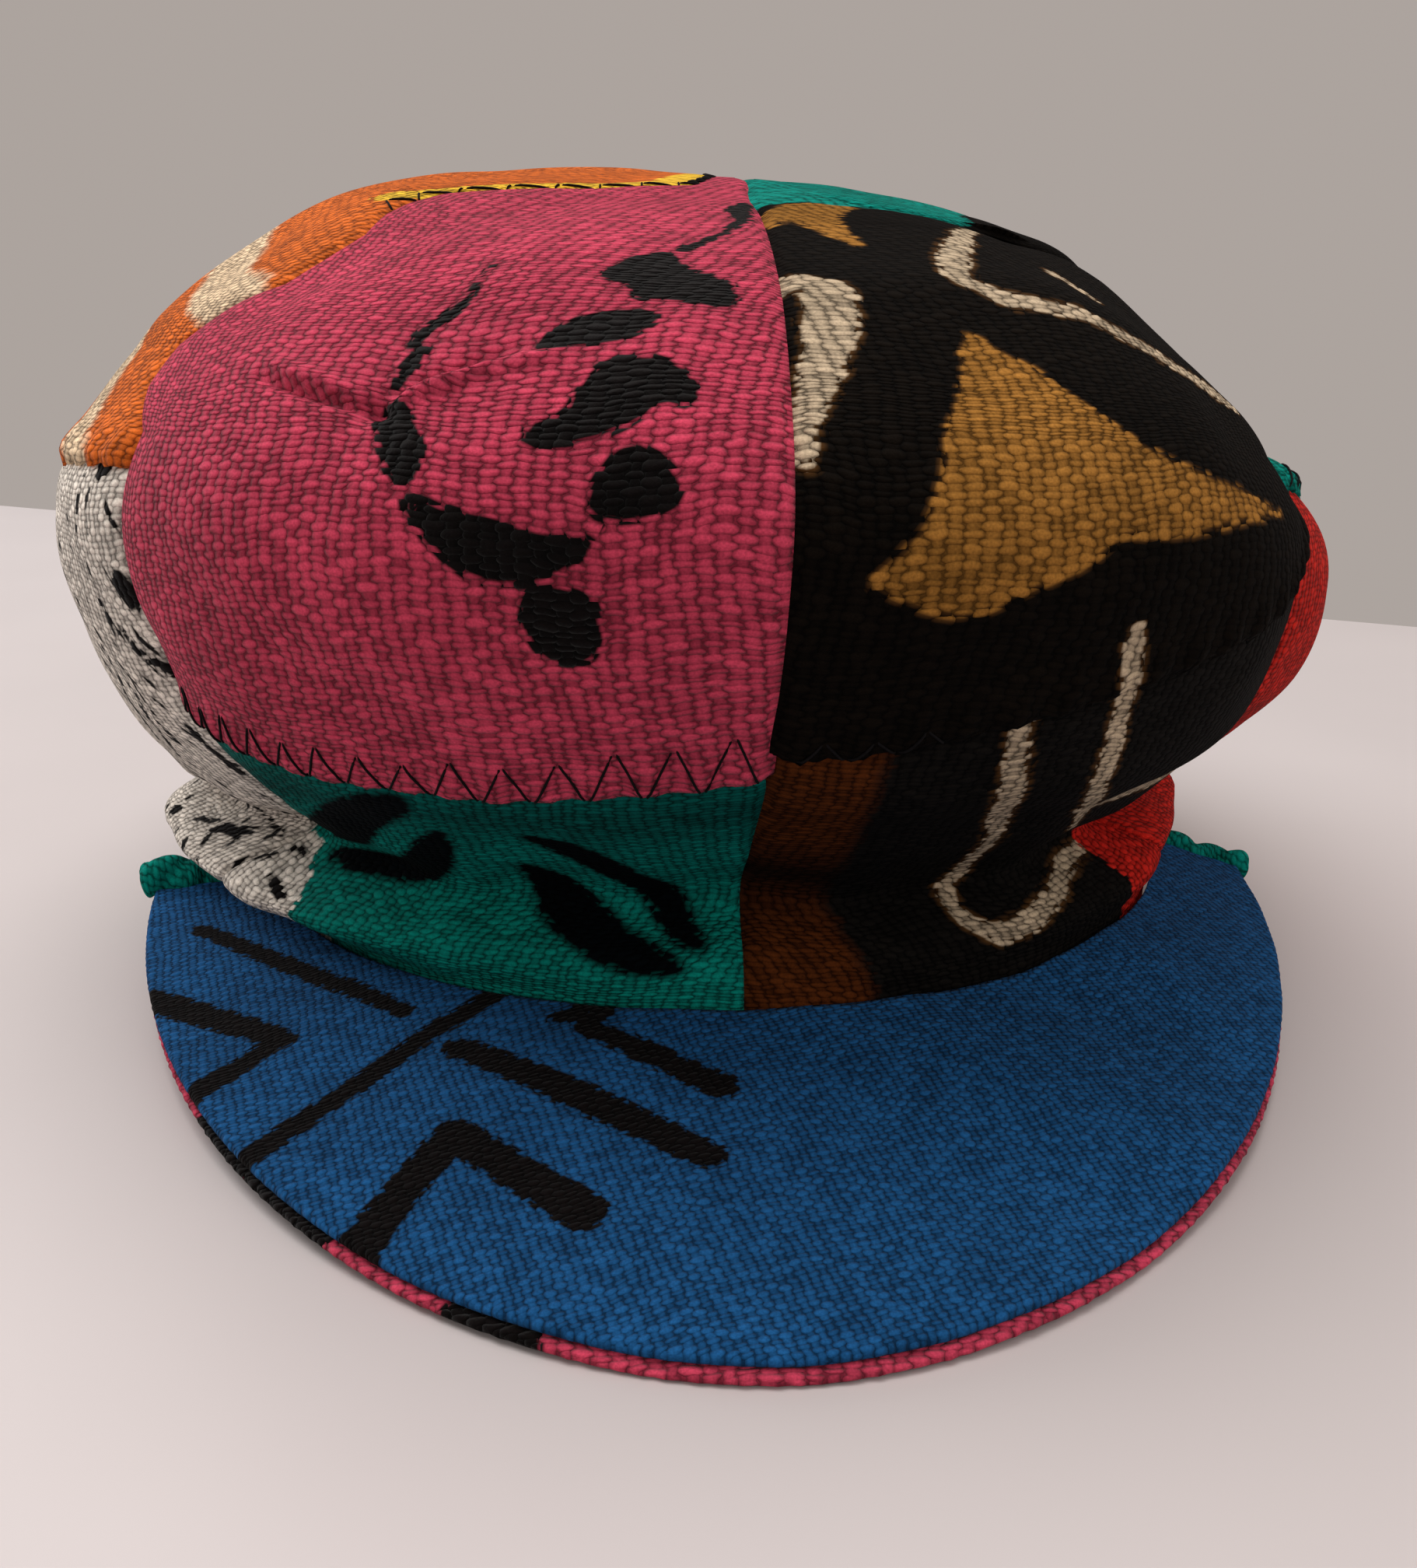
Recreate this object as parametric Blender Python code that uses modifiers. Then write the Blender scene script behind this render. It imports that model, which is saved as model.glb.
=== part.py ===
"""Soft patchwork cap with a short curved peak, in metres with +Z up.

The crown is eight gores of coarse cloth. Each gore is an upper patch sewn to a lower patch, so the
crown is sixteen cloth walls that meet at narrow seams, open below for the head. A table of level
sections gives the crown its form, from the hem up to the tip where the gores meet. The peak has a
top and an under layer, and a rolled cloth edge runs down each of its two back edges.

The front of the cap faces -Y, and left and right are -X and +X. The origin is on the ground below
the middle of the cap. Lengths in the tables and constants are millimetres, and angles are degrees.
An angle round the cap starts at the front and grows towards the right.
"""
import math
from collections import namedtuple

import bmesh
import bpy
import numpy as np

MM = 0.001

# Walls and gaps
CROWN_WALL = 2.0
PEAK_TOP_WALL = 1.9
PEAK_UNDER_WALL = 1.2
SEAM_GAP = 0.4
LAYER_GAP = 0.5
HEM_TO_PEAK_GAP = 1.0
BORDER_STRIP = 1.5
TIP_RADIUS = 0.9
RING_RADIUS = 5.5

# Crown form
GORES = 8
GORE_ANGLE = 360.0 / GORES
PUFF_POWER = 0.8
NIP_WIDTH = 15.0
NIP_GAP_SHARE = 0.06
NIPPED_SEAMS = (-45.0, 45.0)
TIP_OFFSET_RIGHT = 6.0
TIP_OFFSET_BACK = 4.0
GATHERS_PER_GORE = 3
SPREAD_NORM = (1.0 + math.cos(math.radians(45.0))) * math.sin(math.radians(45.0))

# Place of the head opening's centre, measured from the middle of the whole cap
OPENING_RIGHT = 2.4
OPENING_BACK = 19.5

# Mesh steps over one patch, in columns, shares of its width and crown levels
COLUMN_STEPS = 9
BORDER_SHARE = 0.019
LONGEST_STEP = 0.45
HEM_LEVELS = (0.0, 1.0, 1.4, 1.75, 2.1, 2.5, 2.9, 3.25, 3.6, 4.0)

# Peak outline and height of its upper face
PEAK_START = -77.0
PEAK_END = 79.0
PEAK_HALF_WIDTH = 119.0
PEAK_REACH = 173.0
PEAK_ROUNDNESS = 1.87
PEAK_SEAT_RISE = 4.5
PEAK_EDGE_FRONT_Z = 3.6
PEAK_EDGE_SIDE_Z = 11.5
PEAK_UNDER_OVERHANG = 0.6
PEAK_AROUND_STEPS = 28
PEAK_OUT_STEPS = 6

# Rolled edges of the peak
ROLL_RADIUS = 2.9
ROLL_START = 3.4
ROLL_OVERRUN = 1.0
ROLL_POINTS = 11

# One level of the crown: radii and heights at the left, right, front and back, the depth of the
# two front nips, how far a gore puffs out between its seams, how far the front seams fan out
# (degrees), and the depth of the small gathers.
Section = namedtuple(
    "Section", "left right front back z_left z_right z_front z_back nip puff spread gather")
SECTIONS = (
    Section(94, 98, 101, 98, 8, 12, 13, -8, 0, 0, 21, 0.0),
    Section(94, 98, 101, 98, 13, 17, 18, 4, 0, 0, 21, 0.0),
    Section(117, 106, 98, 106, 22, 25, 25, 16, 3, 1, 18, 0.4),
    Section(110, 101, 91, 100, 32, 33, 33, 26, 10, 0, 14, 1.4),
    Section(112, 106, 107, 112, 37, 39, 48, 36, 8, 2, 10, 0.8),
    Section(122, 118, 126, 128, 62, 62, 66, 60, 2, 4, 5, 0.0),
    Section(124, 113, 141, 136, 95, 88, 103, 90, 0, 5, 4, 0.0),
    Section(106, 85, 116, 120, 123, 114, 130, 119, 0, 5, 5, 0.0),
    Section(76, 66, 75, 88, 147, 135, 143, 137, 0, 4, 5, 0.0),
    Section(42, 36, 39, 45, 154, 148, 150, 147, 0, 2, 3, 0.0),
    Section(0, 0, 0, 0, 154, 154, 154, 154, 0, 0, 0, 0.0),
)
TOP_LEVEL = len(SECTIONS) - 1.0

# A gore runs from its start angle over one gore angle. Its joint is the seam between its upper
# and lower patch, given as a crown level at the gore's start, middle and end.
Gore = namedtuple("Gore", "name start joint_start joint_middle joint_end upper lower")
GORE_TABLE = (
    Gore("back_left", -180.0, 5.3, 5.2, 5.3, "ochre", "green"),
    Gore("rear_left", -135.0, 5.6, 5.5, 5.4, "red", "cream"),
    Gore("side_left", -90.0, 6.2, 6.25, 6.25, "orange", "cream"),
    Gore("front_left", -45.0, 5.05, 4.88, 5.0, "pink", "green"),
    Gore("front_right", 0.0, 5.13, 5.45, 6.0, "black", "brown"),
    Gore("side_right", 45.0, 6.25, 6.2, 5.9, "green", "red"),
    Gore("rear_right", 90.0, 5.4, 5.3, 5.4, "blue", "ochre"),
    Gore("back_right", 135.0, 5.6, 5.5, 5.6, "cream", "black"),
)

# Where the two front side seams run: the angle that each has at some levels. They bend near the
# tip, where the side gores reach over the front ones.
Course = namedtuple("Course", "level left right")
SEAM_COURSE = (
    Course(6.35, -45.0, 45.0),
    Course(6.6, -50.0, 54.0),
    Course(6.85, -52.0, 57.0),
    Course(7.2, -41.0, 59.0),
    Course(7.6, -40.0, 59.0),
    Course(7.8, -43.0, 51.0),
    Course(7.95, -44.0, 33.0),
    Course(8.1, -43.0, 12.0),
    Course(8.3, -33.0, 7.0),
    Course(8.8, -9.0, 6.0),
    Course(9.3, -7.0, 7.0),
    Course(9.85, -20.0, 20.0),
    Course(10.0, -45.0, 45.0),
)

Finish = namedtuple("Finish", "color roughness metallic")
FINISHES = {
    "pink": Finish((0.44, 0.06, 0.11), 0.95, 0.0),
    "black": Finish((0.012, 0.011, 0.010), 0.95, 0.0),
    "green": Finish((0.006, 0.13, 0.09), 0.95, 0.0),
    "brown": Finish((0.10, 0.035, 0.015), 0.95, 0.0),
    "orange": Finish((0.55, 0.16, 0.04), 0.95, 0.0),
    "cream": Finish((0.60, 0.55, 0.48), 0.95, 0.0),
    "red": Finish((0.35, 0.03, 0.02), 0.95, 0.0),
    "ochre": Finish((0.32, 0.17, 0.05), 0.95, 0.0),
    "blue": Finish((0.02, 0.08, 0.27), 0.95, 0.0),
}


def remove_scene_objects():
    """Empty the scene of its objects."""
    for obj in list(bpy.data.objects):
        bpy.data.objects.remove(obj, do_unlink=True)


def make_collection(name):
    """Return a new collection linked to the scene."""
    collection = bpy.data.collections.new(name)
    bpy.context.scene.collection.children.link(collection)
    return collection


def make_root(collection):
    """Return the empty that holds every piece, at the centre of the head opening."""
    root = bpy.data.objects.new("rasta_cap_root", None)
    root.location = (OPENING_RIGHT * MM, OPENING_BACK * MM, 0.0)
    collection.objects.link(root)
    return root


def make_material(node, finish_name):
    """Return a cloth material for one piece."""
    finish = FINISHES[finish_name]
    material = bpy.data.materials.new(node + "_" + finish_name + "_cloth")
    material.use_nodes = True
    shader = material.node_tree.nodes["Principled BSDF"]
    shader.inputs["Base Color"].default_value = finish.color + (1.0,)
    shader.inputs["Roughness"].default_value = finish.roughness
    shader.inputs["Metallic"].default_value = finish.metallic
    return material


def add_object(node, data, finish_name, collection, root):
    """Link a mesh or curve to the cap and give it its cloth."""
    obj = bpy.data.objects.new(node, data)
    data.materials.append(make_material(node, finish_name))
    collection.objects.link(obj)
    obj.parent = root
    return obj


def section_values(levels):
    """Read the section table at any levels, on a smooth curve through its rows."""
    rows = np.array(SECTIONS, dtype=float)
    padded = np.vstack([2 * rows[0] - rows[1], rows, 2 * rows[-1] - rows[-2]])
    levels = np.clip(levels, 0.0, TOP_LEVEL)
    low = np.minimum(levels.astype(int), len(rows) - 2)
    part = (levels - low)[:, None]
    before, start, end, after = (padded[low + step] for step in range(4))
    slope = end - before
    curve = 2 * before - 5 * start + 4 * end - after
    twist = 3 * (start - end) + after - before
    return Section(*(0.5 * (2 * start + slope * part + curve * part ** 2 + twist * part ** 3)).T)


def ellipse_radius(sine, cosine, across, along):
    """Radius of an ellipse in a direction given by its sine and cosine."""
    return 1.0 / np.sqrt((sine / across) ** 2 + (cosine / along) ** 2)


def bent_angles(angles, levels):
    """Move angles so that the two front side seams follow their course.

    Each seam's shift fades evenly to nothing one gore away on both sides.
    """
    course = np.array(SEAM_COURSE)
    bent = np.array(angles, dtype=float)
    for seam, places in zip(NIPPED_SEAMS, (course[:, 1], course[:, 2])):
        shift = np.interp(levels, course[:, 0], places) - seam
        bent += shift * np.maximum(1.0 - np.abs(angles - seam) / GORE_ANGLE, 0.0)
    return bent


def width_share(start, levels):
    """Width of the gore that starts at an angle, as a share of an even gore's width."""
    start = np.broadcast_to(start, levels.shape)
    return (bent_angles(start + GORE_ANGLE, levels) - bent_angles(start, levels)) / GORE_ANGLE


def crown_points(angles, levels):
    """Points of the crown's outer face at gore angles in degrees and crown levels.

    Puffs and gathers are counted on even gores, and the place follows the bent seams.
    """
    at = section_values(levels)
    even = np.radians(angles)
    gore_start = np.floor(angles / GORE_ANGLE) * GORE_ANGLE
    puff = at.puff * np.minimum(width_share(gore_start, levels), 1.0)
    gore = np.radians(bent_angles(angles, levels))
    fan = np.radians(at.spread) * np.sin(gore) * (1 + np.cos(gore)) / SPREAD_NORM
    sine = np.sin(gore + fan)
    cosine = np.cos(gore + fan)
    across = np.maximum(np.where(sine < 0, at.left, at.right), 0.01)
    along = np.maximum(np.where(cosine > 0, at.front, at.back), 0.01)
    radius = ellipse_radius(sine, cosine, across, along)
    for seam in NIPPED_SEAMS:
        radius -= at.nip * np.exp(-((angles - seam) / NIP_WIDTH) ** 2)
    radius += puff * np.abs(np.sin(even * GORES / 2)) ** PUFF_POWER
    radius -= at.gather * np.cos(even * GORES * GATHERS_PER_GORE)
    height = np.where(sine < 0, at.z_left, at.z_right) * sine ** 2
    height += np.where(cosine > 0, at.z_front, at.z_back) * cosine ** 2
    lean = (np.clip(levels, 0.0, TOP_LEVEL) / TOP_LEVEL) ** 3
    return np.column_stack((
        radius * sine + TIP_OFFSET_RIGHT * lean,
        TIP_OFFSET_BACK * lean - radius * cosine,
        np.maximum(height, 0.0),
    ))


def mean_radius(levels):
    """Average radius of the crown at given levels."""
    at = section_values(levels)
    return (at.left + at.right + at.front + at.back) / 4.0


def level_at_radius(radius):
    """Crown level near the tip where the average radius has a given value."""
    levels = np.linspace(TOP_LEVEL - 1.0, TOP_LEVEL, 400)
    return float(np.interp(-radius, -mean_radius(levels), levels))


def level_step(levels, length):
    """Change of level that makes a given length up the crown's side."""
    nudge = 0.01
    middle = np.full_like(levels, -GORE_ANGLE / 2)
    run = crown_points(middle, levels + nudge) - crown_points(middle, levels - nudge)
    return 2 * nudge * length / np.linalg.norm(run, axis=1)


def joint_levels(gore, share):
    """Level of a gore's joint at shares of the gore's width."""
    ends = gore.joint_start * (1 - share) * (1 - 2 * share) + gore.joint_end * share * (2 * share - 1)
    return ends + gore.joint_middle * 4 * share * (1 - share)


def mapped_grid(node, columns, rows, place):
    """Make a grid mesh and move each point to place(column value, row value) in millimetres."""
    mesh = bpy.data.meshes.new(node)
    bm = bmesh.new()
    bmesh.ops.create_grid(bm, x_segments=len(columns) - 1, y_segments=len(rows) - 1, size=0.5)
    flat = np.array([vert.co[:2] for vert in bm.verts]) + 0.5
    column_of = np.rint(flat[:, 0] * (len(columns) - 1)).astype(int)
    row_of = np.rint(flat[:, 1] * (len(rows) - 1)).astype(int)
    points = place(np.asarray(columns)[column_of], np.asarray(rows)[row_of]) * MM
    for vert, point in zip(bm.verts, points):
        vert.co = point
    bmesh.ops.remove_doubles(bm, verts=bm.verts, dist=1e-6)
    bm.to_mesh(mesh)
    bm.free()
    mesh.shade_smooth()
    return mesh


def add_wall(obj, thickness):
    """Give an open cloth surface its wall, inwards from the outer face."""
    wall = obj.modifiers.new("cloth_wall", "SOLIDIFY")
    wall.thickness = thickness * MM
    wall.offset = -1.0
    wall.use_even_offset = False


def bordered_steps(count, border):
    """Even steps from 0 to 1 with one narrow strip of a given share at each end."""
    return np.concatenate(([0.0], np.linspace(border, 1 - border, count - 1), [1.0]))


def gore_angles(gore, share, levels):
    """Angle at a share of the gore's width, with half a seam gap kept clear at both sides."""
    half_gap = SEAM_GAP / 2 + NIP_GAP_SHARE * np.maximum(section_values(levels).nip, 0.0)
    inset = np.degrees(half_gap / np.maximum(mean_radius(levels), SEAM_GAP / 2))
    inset = np.minimum(inset / width_share(gore.start, levels), GORE_ANGLE / 2)
    return gore.start + inset + share * (GORE_ANGLE - 2 * inset)


def rows_between(low, high, count):
    """Even rows of levels above low, up to and with high."""
    return [low + (high - low) * step / count for step in range(1, count + 1)]


def lower_rows(gore, share):
    """Levels of the mesh rows of a lower patch, from the hem to the joint."""
    joint = joint_levels(gore, share)
    strip = joint - level_step(joint, BORDER_STRIP)
    edge = joint - level_step(joint, SEAM_GAP / 2)
    fixed = [np.full_like(share, level) for level in HEM_LEVELS]
    count = math.ceil((gore.joint_middle - HEM_LEVELS[-1]) / LONGEST_STEP)
    return np.array(fixed + rows_between(HEM_LEVELS[-1], strip, count) + [edge])


def upper_rows(gore, share):
    """Levels of the mesh rows of an upper patch, from the joint to the tip."""
    joint = joint_levels(gore, share)
    edge = joint + level_step(joint, SEAM_GAP / 2)
    strip = joint + level_step(joint, BORDER_STRIP)
    straight_top = SEAM_COURSE[0].level
    count = math.ceil((straight_top - gore.joint_middle) / LONGEST_STEP)
    bends = [course.level for course in SEAM_COURSE[1:-2]]
    tip_levels = [level_at_radius(radius) for radius in (RING_RADIUS, TIP_RADIUS)]
    fixed = [np.full_like(share, level) for level in bends + tip_levels]
    return np.array([edge, strip] + rows_between(strip, straight_top, count) + fixed)


def make_patch(node, finish_name, gore, rows_of, collection, root):
    """Build one cloth patch of a gore over the rows of levels that rows_of gives."""
    tip_level = level_at_radius(TIP_RADIUS)

    def place(share, row):
        level = rows_of(gore, share)[row.astype(int), np.arange(len(share))]
        share = np.where(level < tip_level, share, 0.5)
        return crown_points(gore_angles(gore, share, level), level)

    columns = bordered_steps(COLUMN_STEPS, BORDER_SHARE)
    rows = np.arange(len(rows_of(gore, np.array([0.5]))))
    mesh = mapped_grid(node, columns, rows, place)
    obj = add_object(node, mesh, finish_name, collection, root)
    add_wall(obj, CROWN_WALL)


def peak_points(angles, share, drop, overhang):
    """Points of the peak's upper face, from the hem at share 0 to the free edge at share 1."""
    turn = np.radians(angles)
    sine = np.sin(turn)
    cosine = np.cos(turn)
    hem = SECTIONS[0]
    hem_side = np.where(sine < 0, hem.left, hem.right)
    inner = ellipse_radius(sine, cosine, hem_side, hem.front) + HEM_TO_PEAK_GAP
    power = PEAK_ROUNDNESS
    outer = (np.abs(sine / (PEAK_HALF_WIDTH + overhang)) ** power
             + np.abs(cosine / (PEAK_REACH + overhang)) ** power) ** (-1 / power)
    radius = inner + (outer - inner) * share
    seat = np.where(sine < 0, hem.z_left, hem.z_right) * sine ** 2 + hem.z_front * cosine ** 2
    edge = PEAK_EDGE_SIDE_Z * sine ** 2 + PEAK_EDGE_FRONT_Z * cosine ** 2
    height = (seat + PEAK_SEAT_RISE) * (1 - share) + edge * share - drop
    return np.column_stack((radius * sine, -radius * cosine, height))


def make_peak_layer(node, finish_name, drop, overhang, wall, collection, root):
    """Build one layer of the peak, a curved sheet at a given depth below the upper face."""
    angles = np.linspace(PEAK_START, PEAK_END, PEAK_AROUND_STEPS + 1)
    shares = np.linspace(0.0, 1.0, PEAK_OUT_STEPS + 1)[::-1]
    mesh = mapped_grid(
        node, angles, shares, lambda turn, share: peak_points(turn, share, drop, overhang))
    obj = add_object(node, mesh, finish_name, collection, root)
    add_wall(obj, wall)


def make_peak_roll(node, edge_angle, side, collection, root):
    """Build the rolled cloth that binds one back edge of the peak."""
    shares = np.linspace(0.0, 1.0, ROLL_POINTS)
    edge = peak_points(np.full(ROLL_POINTS, edge_angle), shares, 0.0, 0.0)
    out = edge[-1] - edge[0]
    out /= np.linalg.norm(out)
    beside = side * np.array((out[1], -out[0], 0.0))
    beside /= np.linalg.norm(beside)
    length = np.linalg.norm(edge[-1] - edge[0])
    run = np.linspace(ROLL_START, length + ROLL_OVERRUN, ROLL_POINTS)[:, None]
    middle_drop = (PEAK_TOP_WALL + LAYER_GAP + PEAK_UNDER_WALL) / 2
    path = edge[0] + out * run + beside * (ROLL_RADIUS + LAYER_GAP)
    path[:, 2] -= middle_drop
    curve = bpy.data.curves.new(node, "CURVE")
    curve.dimensions = "3D"
    curve.bevel_depth = ROLL_RADIUS * MM
    curve.bevel_resolution = 3
    curve.use_fill_caps = True
    spline = curve.splines.new("POLY")
    spline.points.add(ROLL_POINTS - 1)
    for point, place in zip(spline.points, path * MM):
        point.co = (*place, 1.0)
    add_object(node, curve, "green", collection, root)


def main():
    """Build the whole cap."""
    remove_scene_objects()
    collection = make_collection("rasta_cap")
    root = make_root(collection)
    for gore in GORE_TABLE:
        make_patch(gore.name + "_upper", gore.upper, gore, upper_rows, collection, root)
        make_patch(gore.name + "_lower", gore.lower, gore, lower_rows, collection, root)
    make_peak_layer("peak_top", "blue", 0.0, 0.0, PEAK_TOP_WALL, collection, root)
    make_peak_layer("peak_under", "pink", PEAK_TOP_WALL + LAYER_GAP, PEAK_UNDER_OVERHANG,
                    PEAK_UNDER_WALL, collection, root)
    make_peak_roll("peak_binding_left", PEAK_START, 1.0, collection, root)
    make_peak_roll("peak_binding_right", PEAK_END, -1.0, collection, root)


main()
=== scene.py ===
"""Looks of a soft patchwork cap with a short curved peak.

Each cloth of the crown and of the peak is a surface worked out over a grid, with its puffs, folds,
seams and worn edges in the mesh, and its weave, dye, printed marks and painted shade in the
material. Lengths in the tables are millimetres, and angles are degrees unless a name says otherwise.
"""
import logging
import math
from dataclasses import dataclass, field
from enum import Enum

import bpy
import numpy as np
from mathutils import Matrix


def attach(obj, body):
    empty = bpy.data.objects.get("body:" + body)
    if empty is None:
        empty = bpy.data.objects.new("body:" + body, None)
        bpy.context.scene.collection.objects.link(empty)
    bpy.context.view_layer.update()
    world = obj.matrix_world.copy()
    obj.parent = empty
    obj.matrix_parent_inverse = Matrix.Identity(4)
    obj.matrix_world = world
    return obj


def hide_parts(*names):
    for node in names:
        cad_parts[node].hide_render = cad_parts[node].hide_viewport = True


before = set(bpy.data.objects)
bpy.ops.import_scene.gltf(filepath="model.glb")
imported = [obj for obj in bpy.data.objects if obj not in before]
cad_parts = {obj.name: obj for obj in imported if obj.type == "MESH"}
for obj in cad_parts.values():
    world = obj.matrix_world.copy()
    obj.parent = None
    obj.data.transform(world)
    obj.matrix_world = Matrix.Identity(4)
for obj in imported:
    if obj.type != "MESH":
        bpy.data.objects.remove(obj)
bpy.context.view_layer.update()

MM = 0.001
LOG = logging.getLogger("cap")
Array = np.ndarray
Color = tuple[float, float, float]

# Place of the head opening's centre in the frame
OPENING = np.array((2.4, 19.5, 0.0))
UP = np.array((0.0, 0.0, 1.0))

# A depth that stands for far outside every mark
FAR_OUTSIDE = -1e3


@dataclass(frozen=True)
class Finish:
    """A dyed cloth: its slot, colour, size of one crossing of its threads, relief, sheen and turn."""

    slot: str
    color: Color
    across: float = 2.0
    up: float = 1.15
    relief: float = 0.6
    sheen: float = 0.05
    turn: float = 0.0


PINK = Finish("pink_cloth", (0.415, 0.038, 0.076), 2.35, 1.05, 0.80, 0.05)
BLACK = Finish("black_cloth", (0.0036, 0.0024, 0.0016), 2.3, 1.05, 0.55, 0.0)
GREEN = Finish("green_cloth", (0.0014, 0.168, 0.134), 2.0, 0.95, 0.60, 0.0)
BROWN = Finish("brown_cloth", (0.060, 0.015, 0.0030), 2.1, 1.0, 0.55, 0.0)
ORANGE = Finish("orange_cloth", (0.52, 0.110, 0.016), 1.9, 1.0, 0.65, 0.03)
CREAM = Finish("cream_cloth", (0.66, 0.60, 0.53), 1.9, 1.0, 0.65, 0.03)
RED = Finish("red_cloth", (0.44, 0.014, 0.009), 1.8, 1.0, 0.60, 0.02)
OCHRE = Finish("ochre_cloth", (0.38, 0.175, 0.040), 2.1, 1.05, 0.65, 0.02)
BLUE = Finish("blue_cloth", (0.0085, 0.066, 0.185), 1.5, 0.85, 0.50, 0.02, -17.0)

INK: Color = (0.0034, 0.0024, 0.0024)
WHITE_PAINT: Color = (0.385, 0.300, 0.205)
TAN_PAINT: Color = (0.245, 0.108, 0.021)
HALO_BROWN: Color = (0.060, 0.026, 0.007)
YELLOW_PAINT: Color = (0.72, 0.44, 0.035)
CREAM_PAINT: Color = (0.62, 0.46, 0.30)
GREEN_INK: Color = (0.0006, 0.0014, 0.0020)


class Shape(Enum):
    """How a printed mark is drawn: a line of varying width, or a filled outline."""

    STROKE = "stroke"
    BLOB = "blob"


@dataclass(frozen=True)
class Mark:
    """One mark: its shape, its points on the cloth, and the width at each point of a stroke."""

    shape: Shape
    points: tuple[tuple[float, float], ...]
    widths: tuple[float, ...] = ()


@dataclass(frozen=True)
class Print:
    """A colour laid on a cloth in several marks, with an optional darker rim of a given width."""

    name: str
    color: Color
    marks: tuple[Mark, ...]
    rim: Color | None = None
    rim_width: float = 0.0
    softness: float = 0.25


def stroke(*rows: tuple[float, float, float]) -> Mark:
    """Return a stroke from rows of u, v and width."""
    return Mark(Shape.STROKE, tuple(row[:2] for row in rows), tuple(row[2] for row in rows))


def blob(*points: tuple[float, float]) -> Mark:
    """Return a filled outline from its corners, which are rounded later."""
    return Mark(Shape.BLOB, points)


def rounded_outline(points: Array) -> Array:
    """Round a closed outline by cutting its corners: two points a quarter in on every side."""
    after = np.roll(points, -1, axis=0)
    return np.stack((0.75 * points + 0.25 * after, 0.25 * points + 0.75 * after), 1).reshape(-1, 2)


def stroke_depth(u: Array, v: Array, mark: Mark) -> Array:
    """Depth inside a stroke: its half width at the nearest place of its line less the distance.

    Args:
        u: Places across the cloth.
        v: Places up the cloth.
        mark: The stroke.

    Returns:
        Millimetres, positive inside the stroke.
    """
    points = np.array(mark.points)
    best = np.full(u.shape, FAR_OUTSIDE)
    for start, end, wide, narrow in zip(points[:-1], points[1:], mark.widths[:-1], mark.widths[1:]):
        run = end - start
        share = ((u - start[0]) * run[0] + (v - start[1]) * run[1]) / (run @ run)
        share = np.clip(share, 0.0, 1.0)
        away = np.hypot(u - start[0] - share * run[0], v - start[1] - share * run[1])
        best = np.maximum(best, 0.5 * (wide + (narrow - wide) * share) - away)
    return best


def blob_depth(u: Array, v: Array, mark: Mark) -> Array:
    """Depth inside a rounded outline: the distance to its nearest side, negative outside.

    A place is inside where a line to the right crosses the sides an odd number of times.

    Args:
        u: Places across the cloth.
        v: Places up the cloth.
        mark: The outline.

    Returns:
        Millimetres, positive inside the outline.
    """
    points = rounded_outline(np.array(mark.points, dtype=float))
    away = np.full(u.shape, -FAR_OUTSIDE)
    inside = np.zeros(u.shape, dtype=bool)
    for start, end in zip(points, np.roll(points, -1, axis=0)):
        run = end - start
        share = ((u - start[0]) * run[0] + (v - start[1]) * run[1]) / max(run @ run, 1e-9)
        share = np.clip(share, 0.0, 1.0)
        away = np.minimum(away, np.hypot(u - start[0] - share * run[0], v - start[1] - share * run[1]))
        if abs(run[1]) > 1e-9:
            crosses = (start[1] > v) != (end[1] > v)
            inside ^= crosses & (u < run[0] * (v - start[1]) / run[1] + start[0])
    return np.where(inside, away, -away)


def print_depth(u: Array, v: Array, marks: tuple[Mark, ...]) -> Array:
    """Depth inside any of several marks: the greatest of their depths.

    Args:
        u: Places across the cloth.
        v: Places up the cloth.
        marks: The marks.

    Returns:
        Millimetres, positive inside a mark.
    """
    depth = np.full(u.shape, FAR_OUTSIDE)
    for mark in marks:
        measure = stroke_depth if mark.shape is Shape.STROKE else blob_depth
        depth = np.maximum(depth, measure(u, v, mark))
    return depth


def make_object(name: str, points: Array, faces: list[tuple[int, ...]]) -> bpy.types.Object:
    """Make a smooth mesh object at the origin.

    Args:
        name: Name of the object and its mesh.
        points: Vertices in metres, one row each.
        faces: Corner numbers of each face.

    Returns:
        The new object, linked to the scene.
    """
    mesh = bpy.data.meshes.new(name)
    mesh.from_pydata(points.tolist(), [], faces)
    mesh.shade_smooth()
    mesh.update()
    obj = bpy.data.objects.new(name, mesh)
    bpy.context.scene.collection.objects.link(obj)
    return obj


def grid_faces(rows: int, columns: int, closed: bool = False) -> list[tuple[int, ...]]:
    """Four cornered faces of a grid whose points are numbered row by row.

    Args:
        rows: Number of rows of points.
        columns: Number of points in a row.
        closed: Whether the last column joins the first.

    Returns:
        Corner numbers, turning so that columns to the right and rows upwards face outwards.
    """
    last = columns if closed else columns - 1
    row, column = np.meshgrid(np.arange(rows - 1), np.arange(last), indexing="ij")
    after = (column + 1) % columns
    corners = (row * columns + column, row * columns + after,
               (row + 1) * columns + after, (row + 1) * columns + column)
    return [tuple(face) for face in np.stack(corners, -1).reshape(-1, 4).tolist()]


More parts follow.
